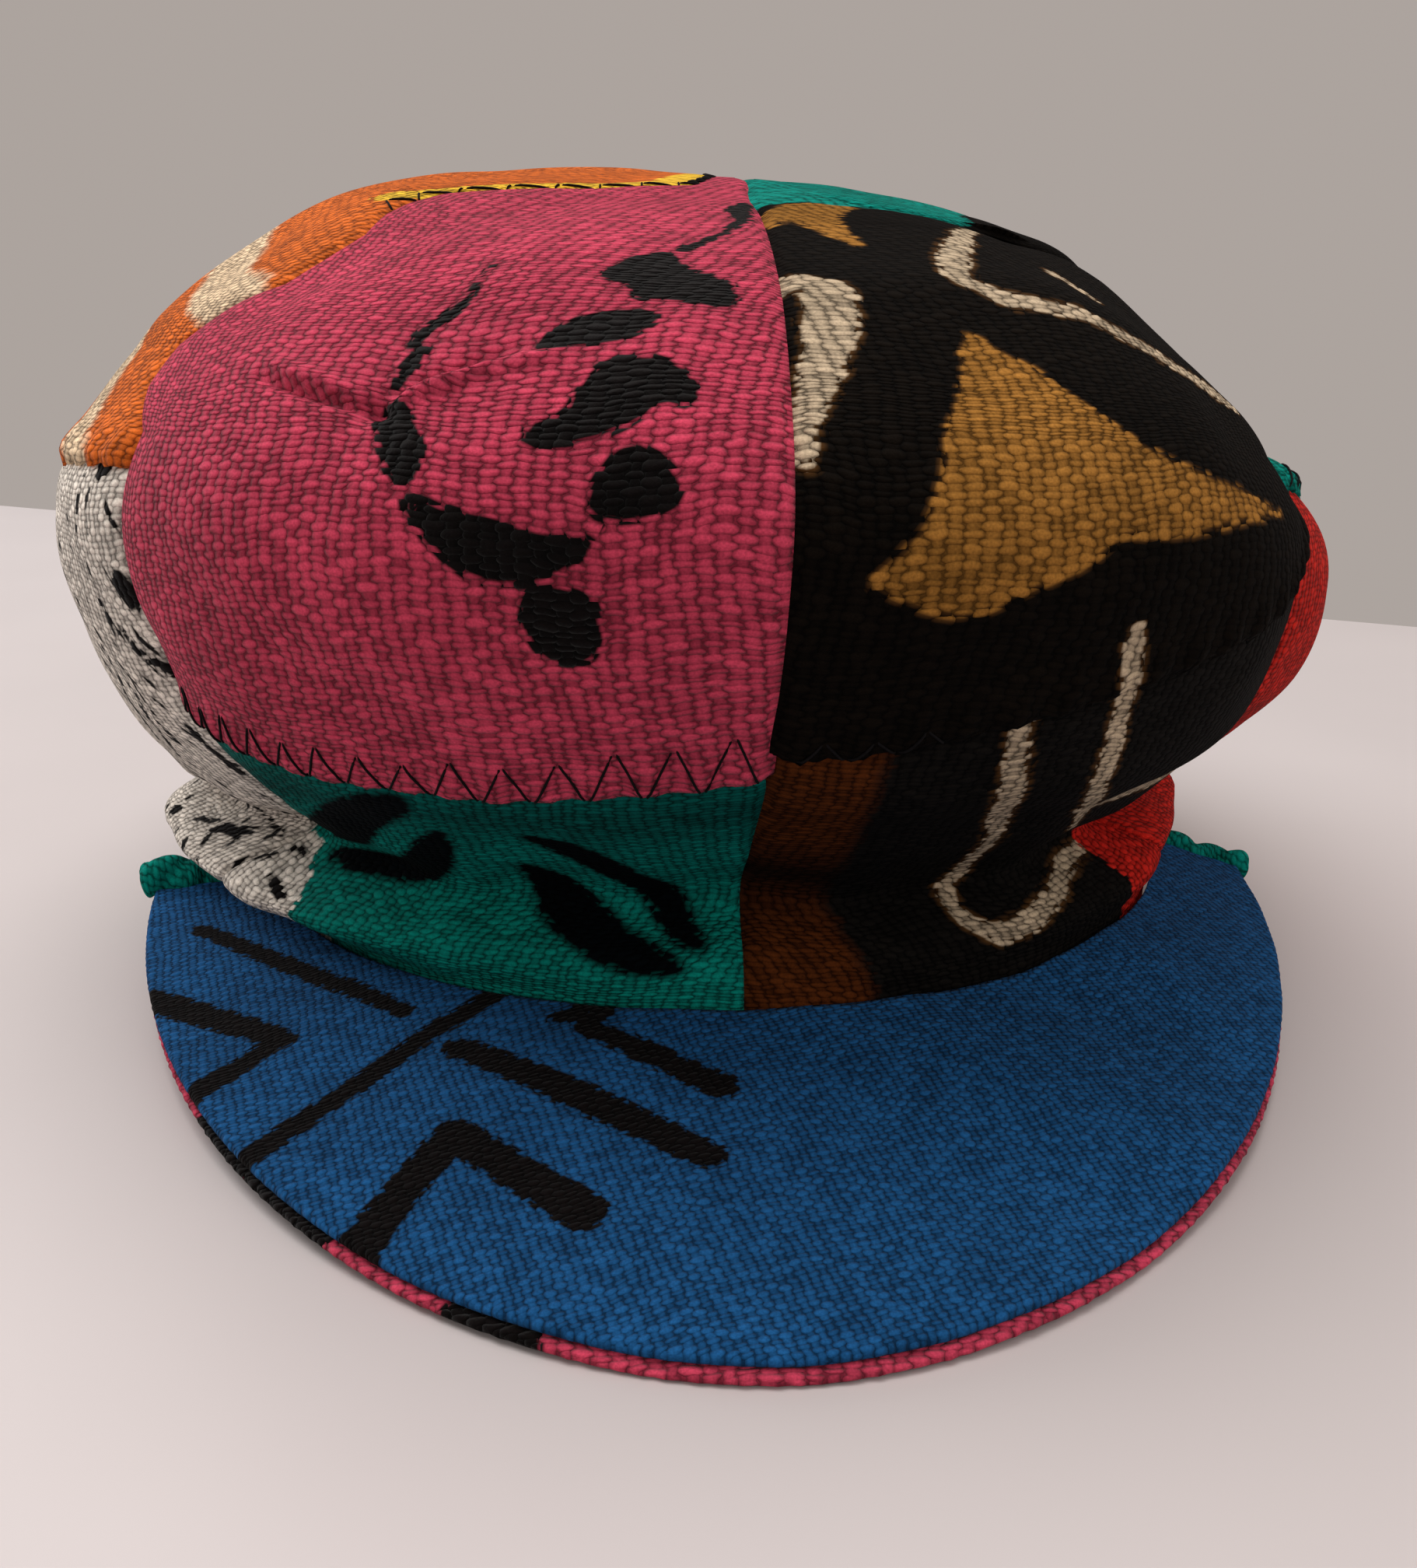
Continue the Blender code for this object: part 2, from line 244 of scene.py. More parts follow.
def set_uv(obj: bpy.types.Object, name: str, uv: Array) -> None:
    """Give each corner of a mesh the place of its vertex on the cloth.

    Args:
        obj: The mesh object.
        name: Name of the UV map.
        uv: Place of each vertex in metres, one row each.
    """
    mesh = obj.data
    layer = mesh.uv_layers.new(name=name)
    corner = np.empty(len(mesh.loops), dtype=np.int32)
    mesh.loops.foreach_get("vertex_index", corner)
    layer.data.foreach_set("uv", uv[corner].astype(np.float32).ravel())


def set_depth(obj: bpy.types.Object, name: str, depth: Array) -> None:
    """Store a depth in millimetres on each vertex."""
    attribute = obj.data.attributes.new(name, "FLOAT", "POINT")
    attribute.data.foreach_set("value", depth.astype(np.float32).ravel())


def tube(path: Array, radii: Array, sides: int) -> tuple[Array, list[tuple[int, ...]]]:
    """Carry a circle along a path, with a pole at each end.

    At each point of the path the circle stands across the line between its neighbours. Its two
    axes come from the path's direction and a fixed up direction.

    Args:
        path: Points of the centre line.
        radii: Radius at each point, or at each point and side.
        sides: Points in each circle.

    Returns:
        Vertices and faces of a closed tube.
    """
    along = np.gradient(path, axis=0)
    along /= np.linalg.norm(along, axis=1, keepdims=True)
    guide = np.where(np.abs(along[:, 2:3]) > 0.9, np.array([[1.0, 0.0, 0.0]]), UP)
    side = np.cross(along, guide)
    side /= np.linalg.norm(side, axis=1, keepdims=True)
    top = np.cross(side, along)
    turn = np.linspace(0.0, 2 * np.pi, sides, endpoint=False)
    radii = np.broadcast_to(np.asarray(radii).reshape(len(path), -1), (len(path), sides))
    ring = side[:, None] * np.cos(turn)[None, :, None] + top[:, None] * np.sin(turn)[None, :, None]
    points = path[:, None] + ring * radii[..., None]
    count = len(path) * sides
    faces = grid_faces(len(path), sides, closed=True)
    start = (len(path) - 1) * sides
    faces += [(count, (k + 1) % sides, k) for k in range(sides)]
    faces += [(count + 1, start + k, start + (k + 1) % sides) for k in range(sides)]
    vertices = np.vstack((points.reshape(-1, 3), path[:1], path[-1:]))
    return vertices, [tuple(reversed(face)) for face in faces]


class NodeTree:
    """Short ways to add and join shader nodes."""

    def __init__(self, tree: bpy.types.NodeTree) -> None:
        """Keep the tree that nodes are added to."""
        self.tree = tree

    def add(self, kind: str, **settings: object) -> bpy.types.Node:
        """Add a node and set its plain properties.

        Args:
            kind: Blender's name of the node's type.
            settings: Its properties by name.

        Returns:
            The node.
        """
        node = self.tree.nodes.new(kind)
        for name, value in settings.items():
            setattr(node, name, value)
        return node

    def feed(self, socket: bpy.types.NodeSocket, value: object) -> None:
        """Join a socket to an output, or give it a value.

        Args:
            socket: The input to fill.
            value: An output socket, or a plain value.
        """
        if isinstance(value, bpy.types.NodeSocket):
            self.tree.links.new(value, socket)
        else:
            socket.default_value = value

    def math(self, operation: str, *values: object, clamp: bool = False) -> bpy.types.NodeSocket:
        """Work out one Math node.

        Args:
            operation: Blender's name of the operation.
            values: Numbers or outputs, in the order of the node's inputs.
            clamp: Whether the result is held between 0 and 1.

        Returns:
            The result's socket.
        """
        node = self.add("ShaderNodeMath", operation=operation, use_clamp=clamp)
        for socket, value in zip(node.inputs, values):
            self.feed(socket, value)
        return node.outputs[0]

    def mix(self, factor: object, first: object, second: object, blend: str = "MIX") -> bpy.types.NodeSocket:
        """Mix two colours.

        Args:
            factor: Share of the second colour.
            first: A colour or an output.
            second: A colour or an output.
            blend: Blender's name of the way to mix.

        Returns:
            The mixed colour's socket.
        """
        node = self.add("ShaderNodeMix", data_type="RGBA", blend_type=blend)
        self.feed(node.inputs["Factor"], factor)
        for socket, value in ((node.inputs[6], first), (node.inputs[7], second)):
            self.feed(socket, (*value, 1.0) if isinstance(value, tuple) else value)
        return node.outputs[2]

    def noise(self, vector: object, scale: float, detail: float = 2.0) -> bpy.types.Node:
        """Add a Noise node.

        Args:
            vector: The place that the noise is read at.
            scale: Number of waves in a metre.
            detail: Number of finer layers.

        Returns:
            The node.
        """
        node = self.add("ShaderNodeTexNoise")
        self.feed(node.inputs["Vector"], vector)
        node.inputs["Scale"].default_value = scale
        node.inputs["Detail"].default_value = detail
        return node

    def remap(self, value: object, low: float, high: float, to_low: float,
              to_high: float) -> bpy.types.NodeSocket:
        """Move a value from one range to another and hold it inside.

        Args:
            value: The number or output.
            low: Start of the first range.
            high: End of the first range.
            to_low: Start of the second range.
            to_high: End of the second range.

        Returns:
            The moved value's socket.
        """
        node = self.add("ShaderNodeMapRange", clamp=True)
        for socket, number in zip(node.inputs, (value, low, high, to_low, to_high)):
            self.feed(socket, number)
        return node.outputs[0]


@dataclass(frozen=True)
class Bulge:
    """Shape of a thread where it shows, in counts of threads, and how it varies from bump to bump."""

    half_up: float
    half_up_spread: float
    half_side: float
    top: float
    rows_later: float
    seed: float


THREAD_ACROSS = Bulge(half_up=0.50, half_up_spread=0.34, half_side=0.56, top=0.80, rows_later=0.0, seed=0.25)
THREAD_UP = Bulge(half_up=0.78, half_up_spread=0.1, half_side=0.34, top=0.48, rows_later=1.0, seed=0.75)


class Weave:
    """A coarse plain weave, worked out in a node group that all cloths share."""

    near_waves: float = 260.0
    far_waves: float = 34.0
    half_side_spread: float = 0.14
    top_spread: float = 0.25
    roundness: float = 0.55
    blend: float = 0.06

    def __init__(self) -> None:
        """Build the group with its sockets and its nodes."""
        self.group = bpy.data.node_groups.new("plain_weave", "ShaderNodeTree")
        for name, kind in (("Vector", "NodeSocketVector"), ("Across", "NodeSocketFloat"),
                           ("Up", "NodeSocketFloat")):
            self.group.interface.new_socket(name, in_out="INPUT", socket_type=kind)
        for name in ("Height", "Bump"):
            self.group.interface.new_socket(name, in_out="OUTPUT", socket_type="NodeSocketFloat")
        self.nodes = NodeTree(self.group)
        self.build()

    def counts(self, given: bpy.types.Node) -> list[bpy.types.NodeSocket]:
        """Count threads across and up the cloth, which wander a little near by and over the cloth.

        Args:
            given: The group's inputs.

        Returns:
            The two counts.
        """
        nodes = self.nodes
        split = nodes.add("ShaderNodeSeparateXYZ")
        nodes.feed(split.inputs[0], given.outputs["Vector"])
        near = nodes.add("ShaderNodeSeparateColor")
        vector = given.outputs["Vector"]
        nodes.feed(near.inputs[0], nodes.noise(vector, self.near_waves, 1.0).outputs["Color"])
        far = nodes.add("ShaderNodeSeparateColor")
        nodes.feed(far.inputs[0], nodes.noise(vector, self.far_waves, 1.0).outputs["Color"])
        found = []
        for axis, pitch, wobble, drift in ((0, "Across", 0.75, 2.2), (1, "Up", 1.15, 5.0)):
            threads = nodes.math("DIVIDE", split.outputs[axis], given.outputs[pitch])
            threads = nodes.math("MULTIPLY_ADD", near.outputs[axis], wobble, threads)
            found.append(nodes.math("MULTIPLY_ADD", far.outputs[axis], drift, threads))
        return found

    def bump(self, column: bpy.types.NodeSocket, aside: bpy.types.NodeSocket, up: bpy.types.NodeSocket,
             thread: Bulge) -> tuple[bpy.types.NodeSocket, bpy.types.NodeSocket]:
        """Work out one column's bump at a place.

        A thread across is on top at every second row, one row later in each next column, and its
        bump is a half ellipsoid that reaches past its column. Where it is below, the thread up the
        cloth shows as a lower and narrower one.

        Args:
            column: Number of the column.
            aside: Place across, counted from the column's middle.
            up: Place up the cloth, counted in rows.
            thread: The thread that shows there.

        Returns:
            The height and the bump's own random number.
        """
        nodes = self.nodes
        row = nodes.math("ADD", nodes.math("ADD", up, column), thread.rows_later)
        phase = nodes.math("FLOORED_MODULO", row, 2.0)
        away = nodes.math("ABSOLUTE", nodes.math("SUBTRACT", phase, 1.0))
        cell = nodes.add("ShaderNodeCombineXYZ")
        nodes.feed(cell.inputs[0], column)
        nodes.feed(cell.inputs[1], nodes.math("FLOOR", nodes.math("MULTIPLY", row, 0.5)))
        nodes.feed(cell.inputs[2], thread.seed)
        random = nodes.add("ShaderNodeTexWhiteNoise", noise_dimensions="3D")
        nodes.feed(random.inputs["Vector"], cell.outputs[0])
        number = random.outputs[0]
        half_up = nodes.math("MULTIPLY_ADD", number, thread.half_up_spread, thread.half_up)
        half_side = nodes.math("MULTIPLY_ADD", number, self.half_side_spread, thread.half_side)
        parts = [nodes.math("POWER", nodes.math("DIVIDE", value, half), 2.0)
                 for value, half in ((away, half_up), (nodes.math("ABSOLUTE", aside), half_side))]
        left = nodes.math("MAXIMUM", nodes.math("SUBTRACT", 1.0, nodes.math("ADD", *parts)), 0.0)
        top = nodes.math("MULTIPLY_ADD", number, self.top_spread, thread.top)
        return nodes.math("MULTIPLY", nodes.math("POWER", left, self.roundness), top), number

    def build(self) -> None:
        """Take the highest of the column's two bumps and the nearest neighbour's upper one."""
        nodes = self.nodes
        across, up = self.counts(nodes.add("NodeGroupInput"))
        column = nodes.math("FLOOR", across)
        aside = nodes.math("SUBTRACT", nodes.math("SUBTRACT", across, column), 0.5)
        beside = nodes.math("SIGN", aside)
        height, number = self.bump(column, aside, up, THREAD_ACROSS)
        neighbour = nodes.math("ADD", column, beside)
        others = (self.bump(neighbour, nodes.math("SUBTRACT", aside, beside), up, THREAD_ACROSS),
                  self.bump(column, aside, up, THREAD_UP))
        for other, its_number in others:
            higher = nodes.math("GREATER_THAN", other, height)
            pick = nodes.add("ShaderNodeMix", data_type="FLOAT")
            for place, value in ((0, higher), (2, number), (3, its_number)):
                nodes.feed(pick.inputs[place], value)
            number = pick.outputs[0]
            height = nodes.math("SMOOTH_MAX", height, other, self.blend)
        result = nodes.add("NodeGroupOutput")
        nodes.feed(result.inputs["Height"], height)
        nodes.feed(result.inputs["Bump"], number)


class Dyer:
    """Makes the cloth materials, which share one weave."""

    cloth_roughness: float = 0.92
    cloth_specular: float = 0.04
    sheen_roughness: float = 0.45
    thread_roughness: float = 0.85
    thread_specular: float = 0.1
    patch_waves: float = 45.0
    fibre_waves: float = 2600.0
    thread_waves: float = 3000.0
    fibre_height: float = 0.16
    edge_reach: float = 1.3
    # Painted shade in the hollows between threads and a slight painted highlight on their tops, as shares of
    # the colour
    painted_hollow_shades: tuple[float, float] = (0.34, 1.10)
    noise_range: tuple[float, float] = (0.3, 0.7)
    patch_shades: tuple[float, float] = (0.86, 1.12)
    fibre_shades: tuple[float, float] = (0.80, 1.20)
    thread_shades: tuple[float, float] = (0.6, 1.4)
    rim_softness: float = 0.6
    rim_strength: float = 0.85
    dash_row: float = 0.0072
    dash_step: float = 0.0062
    dash_bend: float = 5.0
    dash_slope: float = 0.55
    drift_waves: float = 22.0
    dash_drift: float = 0.016
    row_shift: float = 7.0

    def __init__(self) -> None:
        """Build the weave once."""
        self.weave = Weave().group

    def cloth(self, name: str, finish: Finish, prints: tuple[Print, ...] = (),
              dashes: bool = False) -> bpy.types.Material:
        """Make a woven cloth with its printed colours.

        The colour is the dye, varied from thread to thread and over the cloth, then each print
        where its depth is above zero, moved a little at each bump so that its edge follows
        the threads. The hollows between threads are darkened as painted shade, and the tops of
        the threads are lightened a little as a painted highlight. The bump is the weave's height
        with a fine fibre noise.

        Args:
            name: Name of the material.
            finish: The dyed cloth.
            prints: Colours laid on it, each from the attribute of its name.
            dashes: Whether rows of black dashes and dots are drawn over it.

        Returns:
            The material.
        """
        material = bpy.data.materials.new(name)
        material.use_nodes = True
        nodes = NodeTree(material.node_tree)
        shader = material.node_tree.nodes["Principled BSDF"]
        place = nodes.add("ShaderNodeUVMap", uv_map="cloth")
        turned = nodes.add("ShaderNodeMapping")
        turned.inputs["Rotation"].default_value[2] = math.radians(finish.turn)
        nodes.feed(turned.inputs["Vector"], place.outputs[0])
        weave = nodes.add("ShaderNodeGroup", node_tree=self.weave)
        nodes.feed(weave.inputs["Vector"], turned.outputs[0])
        weave.inputs["Across"].default_value = finish.across * MM
        weave.inputs["Up"].default_value = finish.up * MM
        height = weave.outputs["Height"]
        solid = nodes.add("ShaderNodeTexCoord").outputs["Object"]
        patchy = nodes.noise(solid, self.patch_waves, 4.0).outputs[0]
        fibre = nodes.noise(solid, self.fibre_waves, 2.0).outputs[0]
        color = self.varied(nodes, finish.color, weave, patchy, fibre)
        edge = nodes.math("MULTIPLY_ADD", weave.outputs["Bump"], self.edge_reach, -self.edge_reach / 2)
        for layer in prints:
            color = self.printed(nodes, color, layer, edge, weave, patchy, fibre)
        if dashes:
            color = self.dashed(nodes, color, place.outputs[0], edge)
        # Painted shade and highlight: the colour is darkened in the hollows between threads and lightened a
        # little on their tops
        painted_hollow_shade = nodes.remap(height, 0.0, 0.85, *self.painted_hollow_shades)
        color = nodes.mix(1.0, color, self.grey(nodes, painted_hollow_shade), "MULTIPLY")
        nodes.feed(shader.inputs["Base Color"], color)
        shader.inputs["Roughness"].default_value = self.cloth_roughness
        shader.inputs["Specular IOR Level"].default_value = self.cloth_specular
        shader.inputs["Sheen Weight"].default_value = finish.sheen
        shader.inputs["Sheen Roughness"].default_value = self.sheen_roughness
        relief = nodes.math("MULTIPLY_ADD", fibre, self.fibre_height, height)
        bump = nodes.add("ShaderNodeBump")
        bump.inputs["Strength"].default_value = 1.0
        bump.inputs["Distance"].default_value = finish.relief * MM
        nodes.feed(bump.inputs["Height"], relief)
        nodes.feed(shader.inputs["Normal"], bump.outputs[0])
        return material

    def grey(self, nodes: NodeTree, value: bpy.types.NodeSocket) -> bpy.types.NodeSocket:
        """Make a value a grey colour.

        Args:
            nodes: The material's nodes.
            value: The brightness.

        Returns:
            The colour's socket.
        """
        node = nodes.add("ShaderNodeCombineColor")
        for socket in node.inputs[:3]:
            nodes.feed(socket, value)
        return node.outputs[0]

    def varied(self, nodes: NodeTree, color: Color, weave: bpy.types.Node, patchy: bpy.types.NodeSocket,
               fibre: bpy.types.NodeSocket) -> bpy.types.NodeSocket:
        """Vary a colour from bump to bump, over the cloth and along the fibres.

        Args:
            nodes: The material's nodes.
            color: The colour.
            weave: The weave's group node.
            patchy: Wide noise.
            fibre: Fine noise.

        Returns:
            The varied colour's socket.
        """
        bump = nodes.math("MULTIPLY_ADD", weave.outputs["Bump"], 0.34, 0.83)
        wide = nodes.remap(patchy, *self.noise_range, *self.patch_shades)
        fine = nodes.remap(fibre, *self.noise_range, *self.fibre_shades)
        shade = nodes.math("MULTIPLY", bump, nodes.math("MULTIPLY", wide, fine))
        return nodes.mix(1.0, color, self.grey(nodes, shade), "MULTIPLY")

    def printed(self, nodes: NodeTree, under: bpy.types.NodeSocket, layer: Print, edge: bpy.types.NodeSocket,
                weave: bpy.types.Node, patchy: bpy.types.NodeSocket,
                fibre: bpy.types.NodeSocket) -> bpy.types.NodeSocket:
        """Lay one print over a colour, with its rim outside its edge.

        Args:
            nodes: The material's nodes.
            under: The colour below.
            layer: The print, whose depth is the attribute of its name.
            edge: Depth to add at each bump.
            weave: The weave's group node.
            patchy: Wide noise.
            fibre: Fine noise.

        Returns:
            The printed colour's socket.
        """
        depth = nodes.add("ShaderNodeAttribute", attribute_name=layer.name).outputs["Fac"]
        depth = nodes.math("ADD", depth, edge)
        if layer.rim is not None:
            soft = layer.rim_width * self.rim_softness
            rim = nodes.remap(depth, -layer.rim_width - soft, -layer.rim_width + soft, 0.0, self.rim_strength)
            under = nodes.mix(rim, under, layer.rim)
        paint = self.varied(nodes, layer.color, weave, patchy, fibre)
        mask = nodes.remap(depth, -layer.softness, layer.softness, 0.0, 1.0)
        return nodes.mix(mask, under, paint)

    def dashed(self, nodes: NodeTree, under: bpy.types.NodeSocket, place: bpy.types.NodeSocket,
               edge: bpy.types.NodeSocket) -> bpy.types.NodeSocket:
        """Draw rows of black dashes that sweep across the cloth, and scattered dots.

        The rows are counted along v bent by a square of u, and a dash is drawn where the place
        along a row, moved at random for each row, falls in the first part of its step.

        Args:
            nodes: The material's nodes.
            under: The colour below.
            place: Place on the cloth in metres.
            edge: Depth to add at each bump.

        Returns:
            The colour's socket.
        """
        split = nodes.add("ShaderNodeSeparateXYZ")
        nodes.feed(split.inputs[0], place)
        u, v = split.outputs[0], split.outputs[1]
        bend = nodes.math("MULTIPLY", nodes.math("MULTIPLY", u, u), self.dash_bend)
        wander = nodes.noise(place, self.drift_waves, 1.0).outputs[0]
        drift = nodes.math("MULTIPLY_ADD", wander, self.dash_drift, -self.dash_drift / 2)
        slope = nodes.math("MULTIPLY", u, self.dash_slope)
        row = nodes.math("ADD", nodes.math("ADD", v, bend), nodes.math("ADD", slope, drift))
        row = nodes.math("DIVIDE", row, self.dash_row)
        number = nodes.math("FLOOR", row)
        away = nodes.math("ABSOLUTE", nodes.math("SUBTRACT", nodes.math("FRACT", row), 0.5))
        random = nodes.add("ShaderNodeTexWhiteNoise", noise_dimensions="1D")
        nodes.feed(random.inputs["W"], number)
        steps = nodes.math("DIVIDE", u, self.dash_step)
        along = nodes.math("MULTIPLY_ADD", random.outputs[0], self.row_shift, steps)
        step = nodes.math("FRACT", along)
        which = nodes.add("ShaderNodeTexWhiteNoise", noise_dimensions="2D")
        pair = nodes.add("ShaderNodeCombineXYZ")
        nodes.feed(pair.inputs[0], nodes.math("FLOOR", along))
        nodes.feed(pair.inputs[1], number)
        nodes.feed(which.inputs["Vector"], pair.outputs[0])
        reach = nodes.math("MULTIPLY_ADD", which.outputs[0], 0.62, -0.22)
        from_middle = nodes.math("ABSOLUTE", nodes.math("SUBTRACT", step, 0.5))
        in_dash = nodes.remap(nodes.math("SUBTRACT", reach, from_middle), -0.12, 0.05, 0.0, 1.0)
        thick = nodes.math("MULTIPLY_ADD", random.outputs[0], 0.07, 0.07)
        in_row = nodes.remap(nodes.math("SUBTRACT", nodes.math("MULTIPLY_ADD", edge, 0.10, thick), away),
                             -0.04, 0.04, 0.0, 1.0)
        return nodes.mix(nodes.math("MULTIPLY", in_dash, in_row), under, INK)

    def thread(self, name: str, color: Color) -> bpy.types.Material:
        """Make a matt sewing thread with a fine noise of fibres.

        Args:
            name: Name of the material.
            color: Its colour.

        Returns:
            The material.
        """
        material = bpy.data.materials.new(name)
        material.use_nodes = True
        nodes = NodeTree(material.node_tree)
        shader = material.node_tree.nodes["Principled BSDF"]
        solid = nodes.add("ShaderNodeTexCoord").outputs["Object"]
        noise = nodes.noise(solid, self.thread_waves, 2.0).outputs[0]
        shade = nodes.remap(noise, *self.noise_range, *self.thread_shades)
        nodes.feed(shader.inputs["Base Color"], nodes.mix(1.0, color, self.grey(nodes, shade), "MULTIPLY"))
        shader.inputs["Roughness"].default_value = self.thread_roughness
        shader.inputs["Specular IOR Level"].default_value = self.thread_specular
        bump = nodes.add("ShaderNodeBump")
        bump.inputs["Strength"].default_value = 0.6
        bump.inputs["Distance"].default_value = 0.0001
        nodes.feed(bump.inputs["Height"], noise)
        nodes.feed(shader.inputs["Normal"], bump.outputs[0])
        return material


@dataclass(frozen=True)
class Section:
    """One level of the crown: its radii and heights at four sides, and its dents and puffs."""

    left: float
    right: float
    front: float
    back: float
    z_left: float
    z_right: float
    z_front: float
    z_back: float
    nip: float
    puff: float
    spread: float
    gather: float


@dataclass(frozen=True)
class Course:
    """The angles at which the two front side seams stand at one level."""

    level: float
    left: float
    right: float


@dataclass
class CrownForm:
    """The crown's outer face, from the hem at level 0 to the tip at the last level."""

    gores: int = 8
    puff_power: float = 0.8
    nip_width: float = 15.0
    nipped_seams: tuple[float, float] = (-45.0, 45.0)
    tip_right: float = 6.0
    tip_back: float = 4.0
    gathers_per_gore: int = 3
    foot: float = 0.9
    sections: tuple[Section, ...] = (
        Section(94, 98, 101, 98, 8, 12, 13, -8, 0, 0, 21, 0.0),
        Section(94, 98, 101, 98, 13, 17, 18, 4, 0, 0, 21, 0.0),
        Section(117, 106, 98, 106, 22, 25, 25, 16, 3, 1, 18, 0.4),
        Section(110, 101, 91, 100, 32, 33, 33, 26, 10, 0, 14, 1.4),
        Section(112, 106, 107, 112, 37, 39, 48, 36, 8, 2, 10, 0.8),
        Section(122, 118, 126, 128, 62, 62, 66, 60, 2, 4, 5, 0.0),
        Section(124, 113, 141, 136, 95, 88, 103, 90, 0, 5, 4, 0.0),
        Section(106, 85, 116, 120, 123, 114, 130, 119, 0, 5, 5, 0.0),
        Section(76, 66, 75, 88, 147, 135, 143, 137, 0, 4, 5, 0.0),
        Section(42, 36, 39, 45, 154, 148, 150, 147, 0, 2, 3, 0.0),
        Section(0, 0, 0, 0, 154, 154, 154, 154, 0, 0, 0, 0.0),
    )
    courses: tuple[Course, ...] = (
        Course(6.35, -45.0, 45.0),
        Course(6.6, -50.0, 54.0),
        Course(6.85, -52.0, 57.0),
        Course(7.2, -41.0, 59.0),
        Course(7.6, -40.0, 59.0),
        Course(7.8, -43.0, 51.0),
        Course(7.95, -44.0, 33.0),
        Course(8.1, -43.0, 12.0),
        Course(8.3, -33.0, 7.0),
        Course(8.8, -9.0, 6.0),
        Course(9.3, -7.0, 7.0),
        Course(9.85, -20.0, 20.0),
        Course(10.0, -45.0, 45.0),
    )

    @property
    def top(self) -> float:
        """Level of the tip."""
        return len(self.sections) - 1.0

    def values(self, levels: Array) -> dict[str, Array]:
        """Read the sections at any levels on a smooth curve through their values.

        Between two sections each value follows the cubic curve that leaves a section in the
        direction of its two neighbours.

        Args:
            levels: Any levels.

        Returns:
            Each value by its name.
        """
        names = list(Section.__dataclass_fields__)
        rows = np.array([[getattr(row, name) for name in names] for row in self.sections], dtype=float)
        padded = np.vstack([2 * rows[0] - rows[1], rows, 2 * rows[-1] - rows[-2]])
        levels = np.clip(levels, 0.0, self.top)
        low = np.minimum(levels.astype(int), len(rows) - 2)
        part = (levels - low)[..., None]
        before, start, end, after = (padded[low + step] for step in range(4))
        curve = 2 * before - 5 * start + 4 * end - after
        twist = 3 * (start - end) + after - before
        read = 0.5 * (2 * start + (end - before) * part + curve * part ** 2 + twist * part ** 3)
        return {name: read[..., k] for k, name in enumerate(names)}

    def bent(self, angles: Array, levels: Array) -> Array:
        """Move angles so that the two front side seams follow their course.

        Each seam's shift fades evenly to nothing one gore away on both sides.

        Args:
            angles: Angles counted on even gores.
            levels: Crown levels.

        Returns:
            The angles at which those places stand.
        """
        rows = [row.level for row in self.courses]
        even = 360.0 / self.gores
        result = angles + 0.0 * levels
        for seam, places in zip(self.nipped_seams, ([row.left for row in self.courses],
                                                    [row.right for row in self.courses])):
            shift = np.interp(levels, rows, places) - seam
            result = result + shift * np.maximum(1.0 - np.abs(angles - seam) / even, 0.0)
        return result

    def width_share(self, start: Array, levels: Array) -> Array:
        """Width of the gore that starts at an angle, as a share of an even gore's."""
        even = 360.0 / self.gores
        return (self.bent(start + even, levels) - self.bent(start, levels)) / even

    def points(self, angles: Array, levels: Array) -> Array:
        """Points of the smooth outer face.

        The radius is that of an ellipse whose axes are the section's radii, less the nips at the
        front side seams, plus the puff between seams, which is a power of a sine, less the gathers,
        a cosine of the angle. The height is blended from the sides' heights by squares of sine and
        cosine. The front seams fan out towards the hem, and puffs shrink on a narrowed gore.

        Args:
            angles: Gore angles in degrees, from the front towards the right.
            levels: Crown levels.

        Returns:
            Points in millimetres from the centre of the head opening.
        """
        at = self.values(levels)
        even = np.radians(angles)
        gore_start = np.floor(angles * self.gores / 360.0) * 360.0 / self.gores
        puff = at["puff"] * np.minimum(self.width_share(gore_start, levels), 1.0)
        gore = np.radians(self.bent(angles, levels))
        eighth = math.radians(45)
        norm = (1 + math.cos(eighth)) * math.sin(eighth)
        turn = gore + np.radians(at["spread"]) * np.sin(gore) * (1 + np.cos(gore)) / norm
        sine, cosine = np.sin(turn), np.cos(turn)
        across = np.maximum(np.where(sine < 0, at["left"], at["right"]), 0.01)
        along = np.maximum(np.where(cosine > 0, at["front"], at["back"]), 0.01)
        radius = 1.0 / np.sqrt((sine / across) ** 2 + (cosine / along) ** 2)
        for seam in self.nipped_seams:
            radius = radius - at["nip"] * np.exp(-((angles - seam) / self.nip_width) ** 2)
        radius = radius + puff * np.abs(np.sin(even * self.gores / 2)) ** self.puff_power
        radius = radius - at["gather"] * np.cos(even * self.gores * self.gathers_per_gore)
        height = np.where(sine < 0, at["z_left"], at["z_right"]) * sine ** 2
        height = height + np.where(cosine > 0, at["z_front"], at["z_back"]) * cosine ** 2
        lean = (np.clip(levels, 0.0, self.top) / self.top) ** 3
        x = radius * sine + self.tip_right * lean
        y = self.tip_back * lean - radius * cosine
        return np.stack((x, y, height), -1)

    def hem_level(self, angles: Array) -> Array:
        """Level at which the crown comes down to the foot's height, or 0 where its hem is higher."""
        low, high = (self.points(angles, np.full(angles.shape, level))[..., 2] for level in (0.0, 1.0))
        return np.clip((self.foot - low) / (high - low), 0.0, 1.0)


@dataclass(frozen=True)
class Fold:
    """A ridge (or with a negative height a valley) along a line on the cloth."""

    start: tuple[float, float]
    end: tuple[float, float]
    width: float
    height: float


